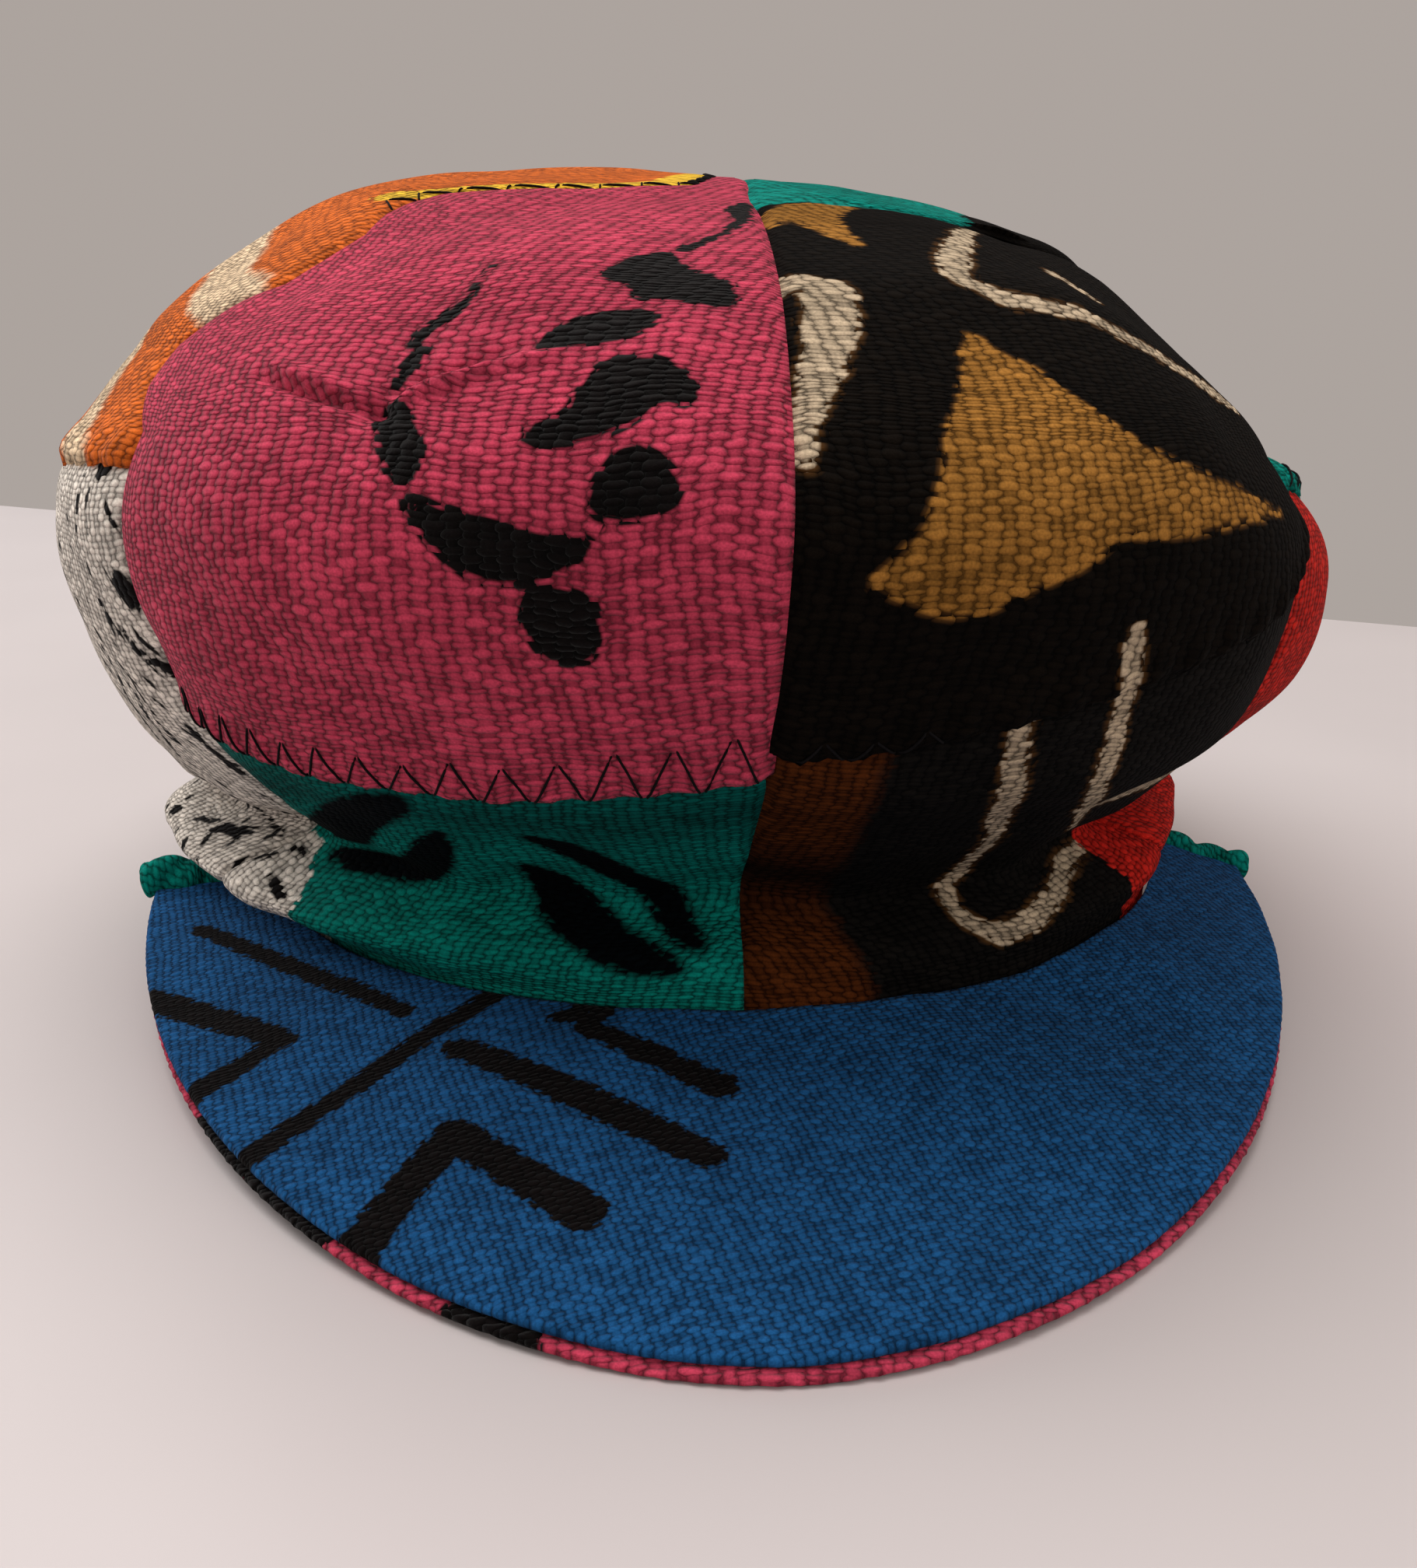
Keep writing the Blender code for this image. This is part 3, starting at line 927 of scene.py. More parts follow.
@dataclass(frozen=True)
class Gore:
    """One gore: its start angle, its joint's level at three places, and its two cloths."""

    name: str
    start: float
    joint_start: float
    joint_middle: float
    joint_end: float
    upper: Finish
    lower: Finish
    upper_prints: tuple[Print, ...] = ()
    lower_prints: tuple[Print, ...] = ()
    upper_folds: tuple[Fold, ...] = ()
    lower_dashes: bool = False


# Ripples of the whole crown: a direction, the number of waves in a metre and a height
RIPPLES = (
    ((0.8, 0.3, 0.5), 19.0, 0.35), ((-0.4, 0.9, 0.2), 24.0, 0.30), ((0.3, -0.5, 0.8), 31.0, 0.22),
    ((0.9, -0.2, -0.4), 43.0, 0.14), ((0.1, 0.6, -0.8), 52.0, 0.12),
)


def ripple(points: Array) -> Array:
    """Height of the crown's soft ripples: a sum of sines of the place along fixed directions.

    Args:
        points: Places in millimetres.

    Returns:
        Heights in millimetres.
    """
    height = np.zeros(points.shape[:-1])
    for number, (direction, waves, size) in enumerate(RIPPLES):
        phase = points @ np.array(direction) * MM * waves * 2 * np.pi + 1.7 * number
        height += size * np.sin(phase + 0.8 * np.sin(0.7 * phase + number))
    return height


def fold_height(u: Array, v: Array, folds: tuple[Fold, ...]) -> Array:
    """Height of folds: a bell across each line, fading towards its ends.

    Args:
        u: Places across the cloth.
        v: Places up the cloth.
        folds: The folds.

    Returns:
        Heights in millimetres.
    """
    height = np.zeros(u.shape)
    for fold in folds:
        start, end = np.array(fold.start), np.array(fold.end)
        run = end - start
        share = ((u - start[0]) * run[0] + (v - start[1]) * run[1]) / (run @ run)
        held = np.clip(share, 0.0, 1.0)
        away = np.hypot(u - start[0] - held * run[0], v - start[1] - held * run[1])
        fade = 0.35 + 0.65 * np.sin(np.pi * held)
        height += fold.height * fade * np.exp(-(away / fold.width) ** 2)
    return height


@dataclass
class GoreCloth:
    """Works out the surface of one gore's upper and lower cloths.

    A place on a gore is given by its share of the width, 0 to 1 from the gore's start, and v,
    the length up its middle line from the hem.
    """

    form: CrownForm
    gore: Gore
    side_lap: float = 0.35
    overlap: float = 2.6
    tuck: float = 2.0
    clearance: float = 0.45
    seam_depth: float = 1.15
    seam_width: float = 1.3
    knob_step: float = 7.2
    knob_height: float = 1.1
    lap_height: float = 1.25
    lap_width: float = 6.0
    curl_height: float = 1.1
    curl_width: float = 0.9
    pull_depth: float = 0.35
    tuck_depth: float = 0.7
    tuck_width: float = 4.0
    hem_fade: float = 8.0
    steps: int = 900
    width_cells: int = 40
    levels: Array = field(init=False)
    lengths: Array = field(init=False)

    def __post_init__(self) -> None:
        """Measure the length up the gore's middle line."""
        self.levels = np.linspace(0.0, self.form.top, self.steps)
        middle = np.full(self.steps, self.gore.start + 180.0 / self.form.gores)
        line = self.form.points(middle, self.levels)
        self.lengths = np.concatenate(([0.0], np.cumsum(np.linalg.norm(np.diff(line, axis=0), axis=1))))

    def joint(self, share: Array) -> Array:
        """Length up the gore of its joint, a parabola in level through the three given places.

        Args:
            share: Shares of the gore's width.

        Returns:
            Lengths v.
        """
        gore = self.gore
        level = (gore.joint_start * (1 - share) * (1 - 2 * share) + gore.joint_end * share * (2 * share - 1)
                 + gore.joint_middle * 4 * share * (1 - share))
        return np.interp(level, self.levels, self.lengths)

    def hem(self, share: Array) -> Array:
        """Length up the gore at which its cloth starts."""
        angles = self.gore.start + share * 360.0 / self.form.gores
        return np.interp(self.form.hem_level(angles), self.levels, self.lengths)

    def smooth(self, share: Array, v: Array) -> Array:
        """Points of the smooth crown, where each side laps its neighbour a little to close the seam.

        Args:
            share: Shares of the gore's width.
            v: Lengths up the gore.

        Returns:
            Points in millimetres from the centre of the head opening.
        """
        level = np.interp(v, self.lengths, self.levels)
        width = 360.0 / self.form.gores
        lap = np.degrees(self.side_lap / np.maximum(self.mean_radius(level), 0.6))
        lap = lap / self.form.width_share(self.gore.start, level)
        return self.form.points(self.gore.start - lap + share * (width + 2 * lap), level)

    def mean_radius(self, level: Array) -> Array:
        """Average radius of the crown at given levels."""
        at = self.form.values(level)
        return (at["left"] + at["right"] + at["front"] + at["back"]) / 4

    def across(self, share: Array, v: Array) -> Array:
        """Signed length u along a level line from the middle that the gore has without its bends.

        The lengths are summed over a table of level lines, and read from it in between.

        Args:
            share: Shares of the gore's width.
            v: Lengths up the gore.

        Returns:
            Lengths u in millimetres.
        """
        cells = self.width_cells
        turns = np.linspace(0.0, 1.0, cells + 1)
        flat_v = np.unique(np.round(v, 1))
        table = self.smooth(*np.meshgrid(turns, flat_v))
        run = np.concatenate((np.zeros((len(flat_v), 1)),
                              np.cumsum(np.linalg.norm(np.diff(table, axis=1), axis=2), axis=1)), 1)
        level = np.interp(flat_v, self.lengths, self.levels)
        middle = np.full(len(level), self.gore.start + 180.0 / self.form.gores)
        moved = np.radians(self.form.bent(middle, level) - middle) * self.mean_radius(level)
        run += moved[:, None] - run[:, [cells // 2]]
        row = np.interp(v, flat_v, np.arange(len(flat_v)))
        low = np.clip(row.astype(int), 0, max(len(flat_v) - 2, 0))
        column = np.clip(share, 0.0, 1.0) * cells
        left = np.minimum(column.astype(int), cells - 1)
        fx, fy = column - left, row - low
        high = np.minimum(low + 1, len(flat_v) - 1)
        return ((run[low, left] * (1 - fx) + run[low, left + 1] * fx) * (1 - fy)
                + (run[high, left] * (1 - fx) + run[high, left + 1] * fx) * fy)

    def normals(self, share: Array, v: Array) -> Array:
        """Outward directions of the smooth crown, from the cross product of two short steps.

        Args:
            share: Shares of the gore's width.
            v: Lengths up the gore.

        Returns:
            Directions of length one.
        """
        step, rise = 0.004, 0.4
        right = self.smooth(np.clip(share + step, 0, 1), v) - self.smooth(np.clip(share - step, 0, 1), v)
        up = self.smooth(share, v + rise) - self.smooth(share, np.maximum(v - rise, 0.0))
        normal = np.cross(right, up)
        return normal / np.maximum(np.linalg.norm(normal, axis=-1, keepdims=True), 1e-9)

    def seam_dip(self, share: Array, v: Array, u: Array) -> Array:
        """Depth of the cloth's turn into its two side seams, fading out near the tip and hem.

        Args:
            share: Shares of the gore's width.
            v: Lengths up the gore.
            u: Lengths across at the same places.

        Returns:
            Depths in millimetres, a bell of the distance from the nearer seam.
        """
        away = np.abs(self.across(np.round(share), v) - u)
        half_width = (self.across(np.ones(share.shape), v) - self.across(np.zeros(share.shape), v)) / 2
        near_tip = np.clip(half_width / 9.0, 0.25, 1.0)
        near_hem = np.clip((v - self.hem(share)) / 6.0, 0.35, 1.0)
        return self.seam_depth * near_tip * near_hem * np.exp(-(away / self.seam_width) ** 1.4)

    def knobs(self, share: Array) -> Array:
        """Ragged edge of the upper cloth: scallops between the stitches and smaller bumps.

        Args:
            share: Shares of the gore's width.

        Returns:
            How far the edge reaches down at each share, in millimetres.
        """
        along = self.across(share, self.joint(share))
        scallop = np.abs(np.sin(np.pi * along / self.knob_step)) - 0.6
        small = 0.35 * np.sin(along * 2.9 + 1.3) + 0.25 * np.sin(along * 5.1 + self.gore.start)
        return self.knob_height * scallop + small

    def upper(self, share: Array, v: Array) -> Array:
        """Points of the upper cloth, laid over the lower cloth at the joint.

        Its height is the ripples and folds, more where it laps the lower cloth, less at its curled
        edge, where the stitches pull and in the seams; each of these is a bell of the distance.

        Args:
            share: Shares of the gore's width.
            v: Lengths up the gore.

        Returns:
            Points in metres in the frame.
        """
        u = self.across(share, v)
        height = ripple(self.smooth(share, v)) + fold_height(u, v, self.gore.upper_folds)
        above = v - (self.joint(share) - self.overlap)
        lap = self.lap_height * np.exp(-(np.maximum(above, 0.0) / self.lap_width) ** 2)
        stitch = np.cos(2 * np.pi * u / self.knob_step)
        pulled = self.pull_depth * np.exp(-((above - 3.0) / 3.5) ** 2) * stitch
        curl = self.curl_height * np.exp(-(np.maximum(above, 0.0) / self.curl_width) ** 2)
        height = height + lap - curl - pulled - self.seam_dip(share, v, u)
        return self.place(share, v, height)

    def lower(self, share: Array, v: Array) -> Array:
        """Points of the lower cloth, tucked under the upper one.

        Its height is the ripples, fading to nothing at the hem, less a bell below the joint and the
        turn into the seams.

        Args:
            share: Shares of the gore's width.
            v: Lengths up the gore.

        Returns:
            Points in metres in the frame.
        """
        u = self.across(share, v)
        height = ripple(self.smooth(share, v)) * np.clip((v - self.hem(share)) / self.hem_fade, 0.0, 1.0)
        below = self.joint(share) - v
        tucked = self.tuck_depth * np.exp(-(np.maximum(below, 0.0) / self.tuck_width) ** 2)
        return self.place(share, v, height - tucked - self.seam_dip(share, v, u))

    def place(self, share: Array, v: Array, height: Array) -> Array:
        """Raise places off the smooth crown, keep them off the floor and move them into the frame.

        Args:
            share: Shares of the gore's width.
            v: Lengths up the gore.
            height: How far to raise each place, in millimetres.

        Returns:
            Points in metres in the frame.
        """
        points = self.smooth(share, v) + self.normals(share, v) * height[..., None]
        points = points + OPENING
        points[..., 2] = np.maximum(points[..., 2], self.clearance)
        return points * MM


@dataclass
class Crown:
    """The crown's sixteen cloths."""

    form: CrownForm
    gores: tuple[Gore, ...]
    dyer: Dyer
    wall: float = 1.7
    pitch_front: float = 0.85
    pitch_back: float = 1.5
    tip_ring: float = 1.2
    tip_inset: float = 0.35

    def build(self) -> None:
        """Build and dress the upper and lower cloth of every gore."""
        for gore in self.gores:
            cloth = GoreCloth(self.form, gore)
            self.make(cloth, "upper", gore.upper, gore.upper_prints, False)
            self.make(cloth, "lower", gore.lower, gore.lower_prints, gore.lower_dashes)

    def pitch(self, gore: Gore) -> float:
        """Return the mesh step: finer on the gores that face the viewer."""
        return self.pitch_front if gore.name.startswith("front") else self.pitch_back

    def make(self, cloth: GoreCloth, half: str, finish: Finish, prints: tuple[Print, ...],
             dashes: bool) -> None:
        """Build one cloth on a grid of shares and lengths, and close the tip to a point.

        Args:
            cloth: The gore's surface.
            half: "upper" or "lower".
            finish: The dyed cloth.
            prints: Colours laid on it.
            dashes: Whether rows of dashes are drawn over it.
        """
        gore = cloth.gore
        step = self.pitch(gore)
        sides = np.array((0.0, 1.0))
        widest = float(np.diff(cloth.across(sides, cloth.joint(sides)))[0])
        columns = int(widest / step) | 1
        share = np.linspace(0.0, 1.0, columns)
        top = float(cloth.lengths[-1])
        if half == "upper":
            low = cloth.joint(share) - cloth.overlap - cloth.knobs(share)
            high = np.full(columns, top - self.tip_ring)
        else:
            low = cloth.hem(share)
            high = cloth.joint(share) + cloth.tuck
        rows = int(np.mean(high - low) / step)
        rise = np.linspace(0.0, 1.0, rows)[:, None]
        v = low + (high - low) * rise
        share = np.broadcast_to(share, v.shape)
        points = (cloth.upper if half == "upper" else cloth.lower)(share, v)
        u = cloth.across(share, v)
        vertices, uv = points.reshape(-1, 3), np.stack((u, v), -1).reshape(-1, 2)
        faces = grid_faces(rows, columns)
        if half == "upper":
            tip = cloth.upper(np.array([0.5]), np.array([top - self.tip_inset]))
            vertices = np.vstack((vertices, tip))
            uv = np.vstack((uv, [[0.0, top]]))
            start = (rows - 1) * columns
            faces += [(start + k, start + k + 1, rows * columns) for k in range(columns - 1)]
        node = f"{gore.name}_{half}"
        obj = make_object(node + "_cloth", vertices, faces)
        set_uv(obj, "cloth", uv * MM)
        for layer in prints:
            set_depth(obj, layer.name, print_depth(uv[:, 0], uv[:, 1], layer.marks))
        obj.data.materials.append(self.dyer.cloth(node + "_cloth", finish, prints, dashes))
        wall = obj.modifiers.new("cloth_wall", "SOLIDIFY")
        wall.thickness = self.wall * MM
        wall.offset = -1.0
        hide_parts(node)
        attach(obj, "root")


@dataclass
class Peak:
    """The peak: a blue top, a pink under face whose rim shows, and a green roll at each back edge."""

    form: CrownForm
    dyer: Dyer
    prints: tuple[Print, ...]
    under_prints: tuple[Print, ...]
    start: float = -77.0
    end: float = 79.0
    half_width: float = 119.0
    reach: float = 170.2
    roundness: float = 1.87
    seat_rise: float = 4.5
    edge_front_z: float = 3.6
    edge_side_z: float = 11.5
    hem_gap: float = 1.0
    top_wall: float = 1.9
    layer_gap: float = 0.5
    under_wall: float = 1.2
    under_reach: float = 1.5
    side_tuck: float = 2.6
    top_knob: float = 0.05
    under_knob: float = 0.16
    roll_radius: float = 2.9
    left_girth: float = 1.3
    left_rise: float = 2.2
    right_rise: float = 0.3
    around: int = 330
    out: int = 72
    nose_points: int = 9
    nose_reach: float = 1.15
    floor_gap: float = 0.02
    roll_rings: int = 90
    roll_sides: int = 28
    roll_pitch: float = 0.42

    def face(self, angles: Array, share: Array, overhang: Array | float) -> Array:
        """Points of the peak's smooth upper face in millimetres from the opening's centre.

        At each angle a straight line runs from the hem's ellipse out to a rounded outline, the
        curve where the powers of x and y over their reach add up to one.

        Args:
            angles: Angles in degrees, from the front towards the right.
            share: Shares of the way out.
            overhang: How far the outline is moved out.

        Returns:
            The points.
        """
        turn = np.radians(angles)
        sine, cosine = np.sin(turn), np.cos(turn)
        hem = self.form.sections[0]
        side = np.where(sine < 0, hem.left, hem.right)
        inner = 1 / np.sqrt((sine / side) ** 2 + (cosine / hem.front) ** 2) + self.hem_gap
        power = self.roundness
        outer = (np.abs(sine / (self.half_width + overhang)) ** power
                 + np.abs(cosine / (self.reach + overhang)) ** power) ** (-1 / power)
        radius = inner + (outer - inner) * share
        seat = np.where(sine < 0, hem.z_left, hem.z_right) * sine ** 2 + hem.z_front * cosine ** 2
        edge = self.edge_side_z * sine ** 2 + self.edge_front_z * cosine ** 2
        height = (seat + self.seat_rise) * (1 - share) + edge * share
        return np.stack((radius * sine, -radius * cosine, height), -1)

    def swell(self, points: Array) -> Array:
        """Height of the soft ripples on the peak's top: sines of the place, one held in a bell.

        Args:
            points: Places in millimetres.

        Returns:
            Heights in millimetres.
        """
        x, y = points[..., 0], points[..., 1]
        ridge = 0.5 * np.sin((x * 0.35 + y) * 0.115 + 0.6) * np.exp(-((x - 45) / 55) ** 2)
        wide = 0.22 * np.sin(x * 0.09 + 1.0) * np.sin(y * 0.13)
        return ridge + wide + 0.12 * np.sin(x * 0.31 + y * 0.2)

    def layer(self, node: str, finish: Finish, prints: tuple[Print, ...], drop: float, wall: float,
              overhang: float, knob: float, side_tuck: float) -> None:
        """Build one layer of the peak as a closed shell.

        At each angle the profile runs out along the top, round the free edge as a half circle as
        thick as the wall, and back along the bottom. The two end profiles close on their middles.

        Args:
            node: CAD node that the layer stands for.
            finish: Its cloth.
            prints: Its printed colours.
            drop: Depth of its top below the peak's upper face.
            wall: Its thickness.
            overhang: How far it reaches past the outline.
            knob: Height of the bumps along its free edge.
            side_tuck: How much less it reaches at the sides than at the front.
        """
        around = self.around
        angles = np.linspace(self.start, self.end, around)
        share = np.linspace(0.0, 1.0, self.out)
        nose = np.linspace(0.0, np.pi, self.nose_points)[1:-1]
        turn, part = np.meshgrid(angles, share, indexing="ij")
        flat = self.face(turn, part, overhang - side_tuck * np.sin(np.radians(turn)) ** 2)
        outward = flat[:, -1] - flat[:, -2]
        outward[:, 2] = 0.0
        outward /= np.linalg.norm(outward, axis=1, keepdims=True)
        outer = flat[:, -1:] - outward[:, None] * (wall / 2)
        inner = flat[:, :1]
        line = inner + (outer - inner) * share[None, :, None]
        rise = self.swell(line)
        top = line + UP * (rise - drop)[..., None]
        bottom = line + UP * (0.6 * rise * share[None, :] - drop - wall)[..., None]
        middle = (top[:, -1:] + bottom[:, -1:]) / 2
        half = np.linalg.norm(top[:, -1:] - bottom[:, -1:], axis=2, keepdims=True) / 2
        bumps = 1 + knob * (np.sin(angles * 5.7) + 0.6 * np.sin(angles * 9.1 + 1.0))[:, None, None]
        arc = (middle + outward[:, None] * np.sin(nose)[None, :, None] * half * self.nose_reach * bumps
               + UP * np.cos(nose)[None, :, None] * half)
        profile = np.concatenate((top, arc, bottom[:, ::-1]), 1)
        profile[..., 2] = np.maximum(profile[..., 2], self.floor_gap)
        columns = profile.shape[1]
        u, v = profile[..., 0], profile[..., 1]
        centre = (profile[[0, -1], 0] + profile[[0, -1], -1]) / 2
        points = np.vstack((profile.reshape(-1, 3), centre))
        uv = np.vstack((np.stack((u, v), -1).reshape(-1, 2), centre[:, :2]))
        faces = grid_faces(around, columns, closed=True)
        count = around * columns
        last = (around - 1) * columns
        faces += [(count, k, (k + 1) % columns) for k in range(columns)]
        faces += [(count + 1, last + (k + 1) % columns, last + k) for k in range(columns)]
        obj = make_object(node + "_cloth", (points + OPENING) * MM, faces)
        set_uv(obj, "cloth", uv * MM)
        for item in prints:
            set_depth(obj, item.name, print_depth(uv[:, 0], uv[:, 1], item.marks))
        obj.data.materials.append(self.dyer.cloth(node + "_cloth", finish, prints))
        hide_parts(node)
        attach(obj, "root")

    def roll(self, node: str, angle: float, side: float, radius: float, rise: float) -> None:
        """Build the twisted roll of cloth that binds one back edge of the peak.

        The roll's radius swells twice round its girth, and the swelling turns as it goes along.

        Args:
            node: CAD node that the roll stands for.
            angle: Angle of the back edge in degrees from the front.
            side: The side of the edge on which the roll lies, 1 or -1.
            radius: Its mean radius.
            rise: Height above the middle of the peak's edge.
        """
        count, sides = self.roll_rings, self.roll_sides
        edge = self.face(np.full(2, angle), np.array((0.0, 1.0)), 0.0)
        out = edge[1] - edge[0]
        length = float(np.linalg.norm(out))
        out = out / length
        beside = side * np.array((out[1], -out[0], 0.0))
        beside /= np.linalg.norm(beside)
        run = np.linspace(1.0, length + 3.0, count)
        wave = 0.4 * np.sin(run * 0.5)
        path = edge[0] + out * run[:, None] + beside * (radius + 0.3 + wave)[:, None]
        path[:, 2] += rise - 1.6 + 0.5 * np.sin(run * 0.33)
        turn = np.linspace(0.0, 2 * np.pi, sides, endpoint=False)
        ends = np.sqrt(np.clip(1 - (2 * np.linspace(0, 1, count) - 1) ** 18, 0.02, 1))
        twist = np.abs(np.sin(turn[None, :] - run[:, None] * self.roll_pitch)) ** 0.8 - 0.5
        radii = radius * (1.06 + 0.42 * twist) * ends[:, None]
        vertices, faces = tube(path, radii, sides)
        along = np.concatenate((np.repeat(run, sides), run[[0, -1]]))
        girth = np.concatenate((np.tile(turn * radius, count), (0.0, 0.0)))
        obj = make_object(node + "_cloth", (vertices + OPENING) * MM, faces)
        set_uv(obj, "cloth", np.stack((girth + along * 0.6, along), -1) * MM)
        obj.data.materials.append(self.dyer.cloth(node + "_cloth", GREEN))
        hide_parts(node)
        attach(obj, "root")
        LOG.info("%s: %d faces", obj.name, len(faces))

    def build(self) -> None:
        """Build both layers and both rolls."""
        self.layer("peak_top", BLUE, self.prints, 0.0, self.top_wall, 0.0, self.top_knob, 0.0)
        self.layer("peak_under", PINK, self.under_prints, self.top_wall + self.layer_gap / 2,
                   self.under_wall, self.under_reach, self.under_knob, self.side_tuck)
        self.roll("peak_binding_left", self.start, 1.0, self.roll_radius * self.left_girth, self.left_rise)
        self.roll("peak_binding_right", self.end, -1.0, self.roll_radius, self.right_rise)


@dataclass(frozen=True)
class Zigzag:
    """A row of zigzag stitches along a gore's joint, or up the cloth beside its right seam.

    Its start and end are shares of the width along a joint, and lengths up the cloth beside a seam.
    """

    gore: str
    start: float
    end: float
    low: float
    high: float
    step: float
    growth: float = 0.0
    beside_seam: bool = False


@dataclass
class Stitching:
    """The black thread that holds the joints."""

    form: CrownForm
    gores: tuple[Gore, ...]
    dyer: Dyer
    rows: tuple[Zigzag, ...]
    radius: float = 0.19
    per_leg: int = 9
    sides: int = 8

    def build(self) -> None:
        """Build every row of stitches."""
        black = self.dyer.thread("black_thread", (0.0035, 0.0028, 0.0032))
        cloths = {gore.name: GoreCloth(self.form, gore) for gore in self.gores}
        for row in self.rows:
            self.make(cloths[row.gore], row, black)

    def make(self, cloth: GoreCloth, row: Zigzag, material: bpy.types.Material) -> None:
        """Lay one zigzag on the upper cloth.

        The thread's place up the cloth is a triangle wave of its place along the joint, and it
        dips into the cloth at each turn.

        Args:
            cloth: The gore's surface.
            row: The row of stitches.
            material: The thread.
        """
        length = row.end - row.start
        if not row.beside_seam:
            places = np.array((row.start, row.end))
            length = float(np.diff(cloth.across(places, cloth.joint(places)))[0])
        legs = 2 * max(int(length / row.step), 1)
        t = np.linspace(0.0, legs, legs * self.per_leg + 1)
        wobble = 0.16 * np.sin(np.floor((t + 1) / 2) * 12.9898)
        along = row.start + (row.end - row.start) * np.clip((t + wobble) / legs, 0.0, 1.0)
        wave = np.abs((t + 1) % 2 - 1)
        tall = 1.0 + 0.09 * np.sin(np.floor(t / 2) * 4.1 + 0.5)
        tall = tall + row.growth * np.clip((t / legs - 0.55) / 0.45, 0.0, 1.0) ** 1.5
        reach = row.low + (row.high - row.low) * wave * tall
        if row.beside_seam:
            width = cloth.across(np.ones(len(t)), along) - cloth.across(np.zeros(len(t)), along)
            share, v = 1.0 - reach / width, along
        else:
            share, v = along, cloth.joint(along) - cloth.overlap + reach
        points = cloth.upper(share, v)
        normal = cloth.normals(share, v)
        leg = t % 1.0
        lift = self.radius * 0.9 - 0.75 * np.exp(-(np.minimum(leg, 1 - leg) / 0.08) ** 2)
        path = points / MM + normal * lift[:, None]
        vertices, faces = tube(path, np.full(len(path), self.radius), self.sides)
        obj = make_object(f"zigzag_{row.gore}_{int(row.beside_seam)}", vertices * MM, faces)
        obj.data.materials.append(material)
        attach(obj, "root")
        LOG.info("%s: %d faces", obj.name, len(faces))


FRONT_LEFT_FIGURE = (
    stroke((9, 169, 0.9), (10, 162, 1.0), (11, 158, 2.2), (9, 152, 3.2), (7, 147, 2.4)),
    stroke((9, 146, 2.0), (8, 141, 3.0), (7, 138, 1.6)),
    blob((4, 133), (7, 136), (10, 134), (14, 127), (15, 122), (12, 120), (9, 123), (6, 128)),
    blob((12, 119), (14, 120), (19, 118), (25, 117), (31, 115), (38, 115), (37, 112), (32, 109), (25, 108),
         (20, 110), (15, 115)),
    blob((27, 106), (31, 109), (37, 107), (38, 102), (36, 97), (31, 97), (28, 100)),
    stroke((30, 212, 3.2), (31, 206, 4.0), (35, 196, 3.0), (35, 186, 1.6), (33, 177, 2.6)),
    blob((25, 165), (27, 173), (32, 176), (37, 169), (45, 163), (49, 156), (48, 152), (40, 156), (34, 156),
         (31, 162)),
    blob((25, 143), (27, 150), (35, 154), (41, 151), (38, 145), (32, 144)),
    blob((27, 126), (27, 130), (32, 131), (33, 137), (36, 142), (42, 142), (48, 138), (48, 132), (43, 133),
         (41, 129), (35, 126)),
    blob((36, 117), (37, 122), (40, 127), (46, 124), (49, 119), (43, 116)),
)
FRONT_RIGHT_TAN = (
    blob((-33, 151), (-31, 151), (-27, 146), (-24, 143), (-18, 135), (-12, 126), (-3, 120), (28, 114),
         (28, 114), (3, 112), (-8, 110), (-17, 111), (-22, 107), (-32, 103), (-38, 100), (-44, 101),
         (-52, 104), (-52, 105), (-49, 108), (-45, 113), (-42, 120), (-39, 133), (-35, 146)),
    blob((-41, 185), (-38, 195), (-35, 204), (-27, 218), (-20, 224), (-14, 219), (-22, 205), (-31, 178),
         (-33, 176), (-34, 183), (-35, 190)),
)
FRONT_RIGHT_GREEN = (
    blob((-60, 219), (-29, 219), (-24, 222), (-17, 221), (-12, 217), (-4, 213), (30, 213), (30, 330),
         (-60, 330)),
)
FRONT_RIGHT_WHITE = (
    stroke((-57, 160, 2.6), (-50, 163, 5.0), (-48, 160, 7.0), (-51, 152, 7.0), (-55, 143, 5.6),
           (-58, 131, 4.2), (-60, 120, 2.6)),
    stroke((0, 199, 3.6), (-10, 184, 3.6), (-23, 170, 4.0), (-26, 165, 4.2), (-21, 160, 3.8), (-14, 159, 3.4),
           (-6, 158, 3.2), (3, 154, 3.4), (14, 150, 3.8), (27, 145, 3.6), (36, 141, 2.6)),
    stroke((2, 175, 2.2), (5, 167, 2.2)),
    stroke((-11, 97, 2.6), (-9, 91, 3.8), (-7, 84, 3.2)),
)
FRONT_RIGHT_LOWER_WHITE = (
    stroke((-24, 88, 1.8), (-23, 80, 3.2), (-21, 73, 3.9), (-17, 58, 3.8), (-12, 44, 3.0), (-10, 28, 2.4),
           (-15, 21, 2.6), (-15, 16, 3.2), (-11, 13, 4.4), (-4, 14, 4.2), (4, 17, 3.0), (14, 20, 2.6),
           (26, 23, 2.4)),
    stroke((-11, 96, 2.6), (-9, 91, 3.6), (-7, 88, 2.6), (-6, 83, 3.0), (-4, 76, 3.2), (-2, 65, 3.4),
           (5, 52, 4.0), (9, 42, 2.4)),
    stroke((2, 52, 2.6), (16, 53, 4.4), (30, 55, 4.4), (36, 58, 3.0)),
)
FRONT_RIGHT_LOWER_RED = (
    blob((26, 24), (27, 20), (28, 10), (29, -8), (90, -8), (90, 34), (27, 34)),
)
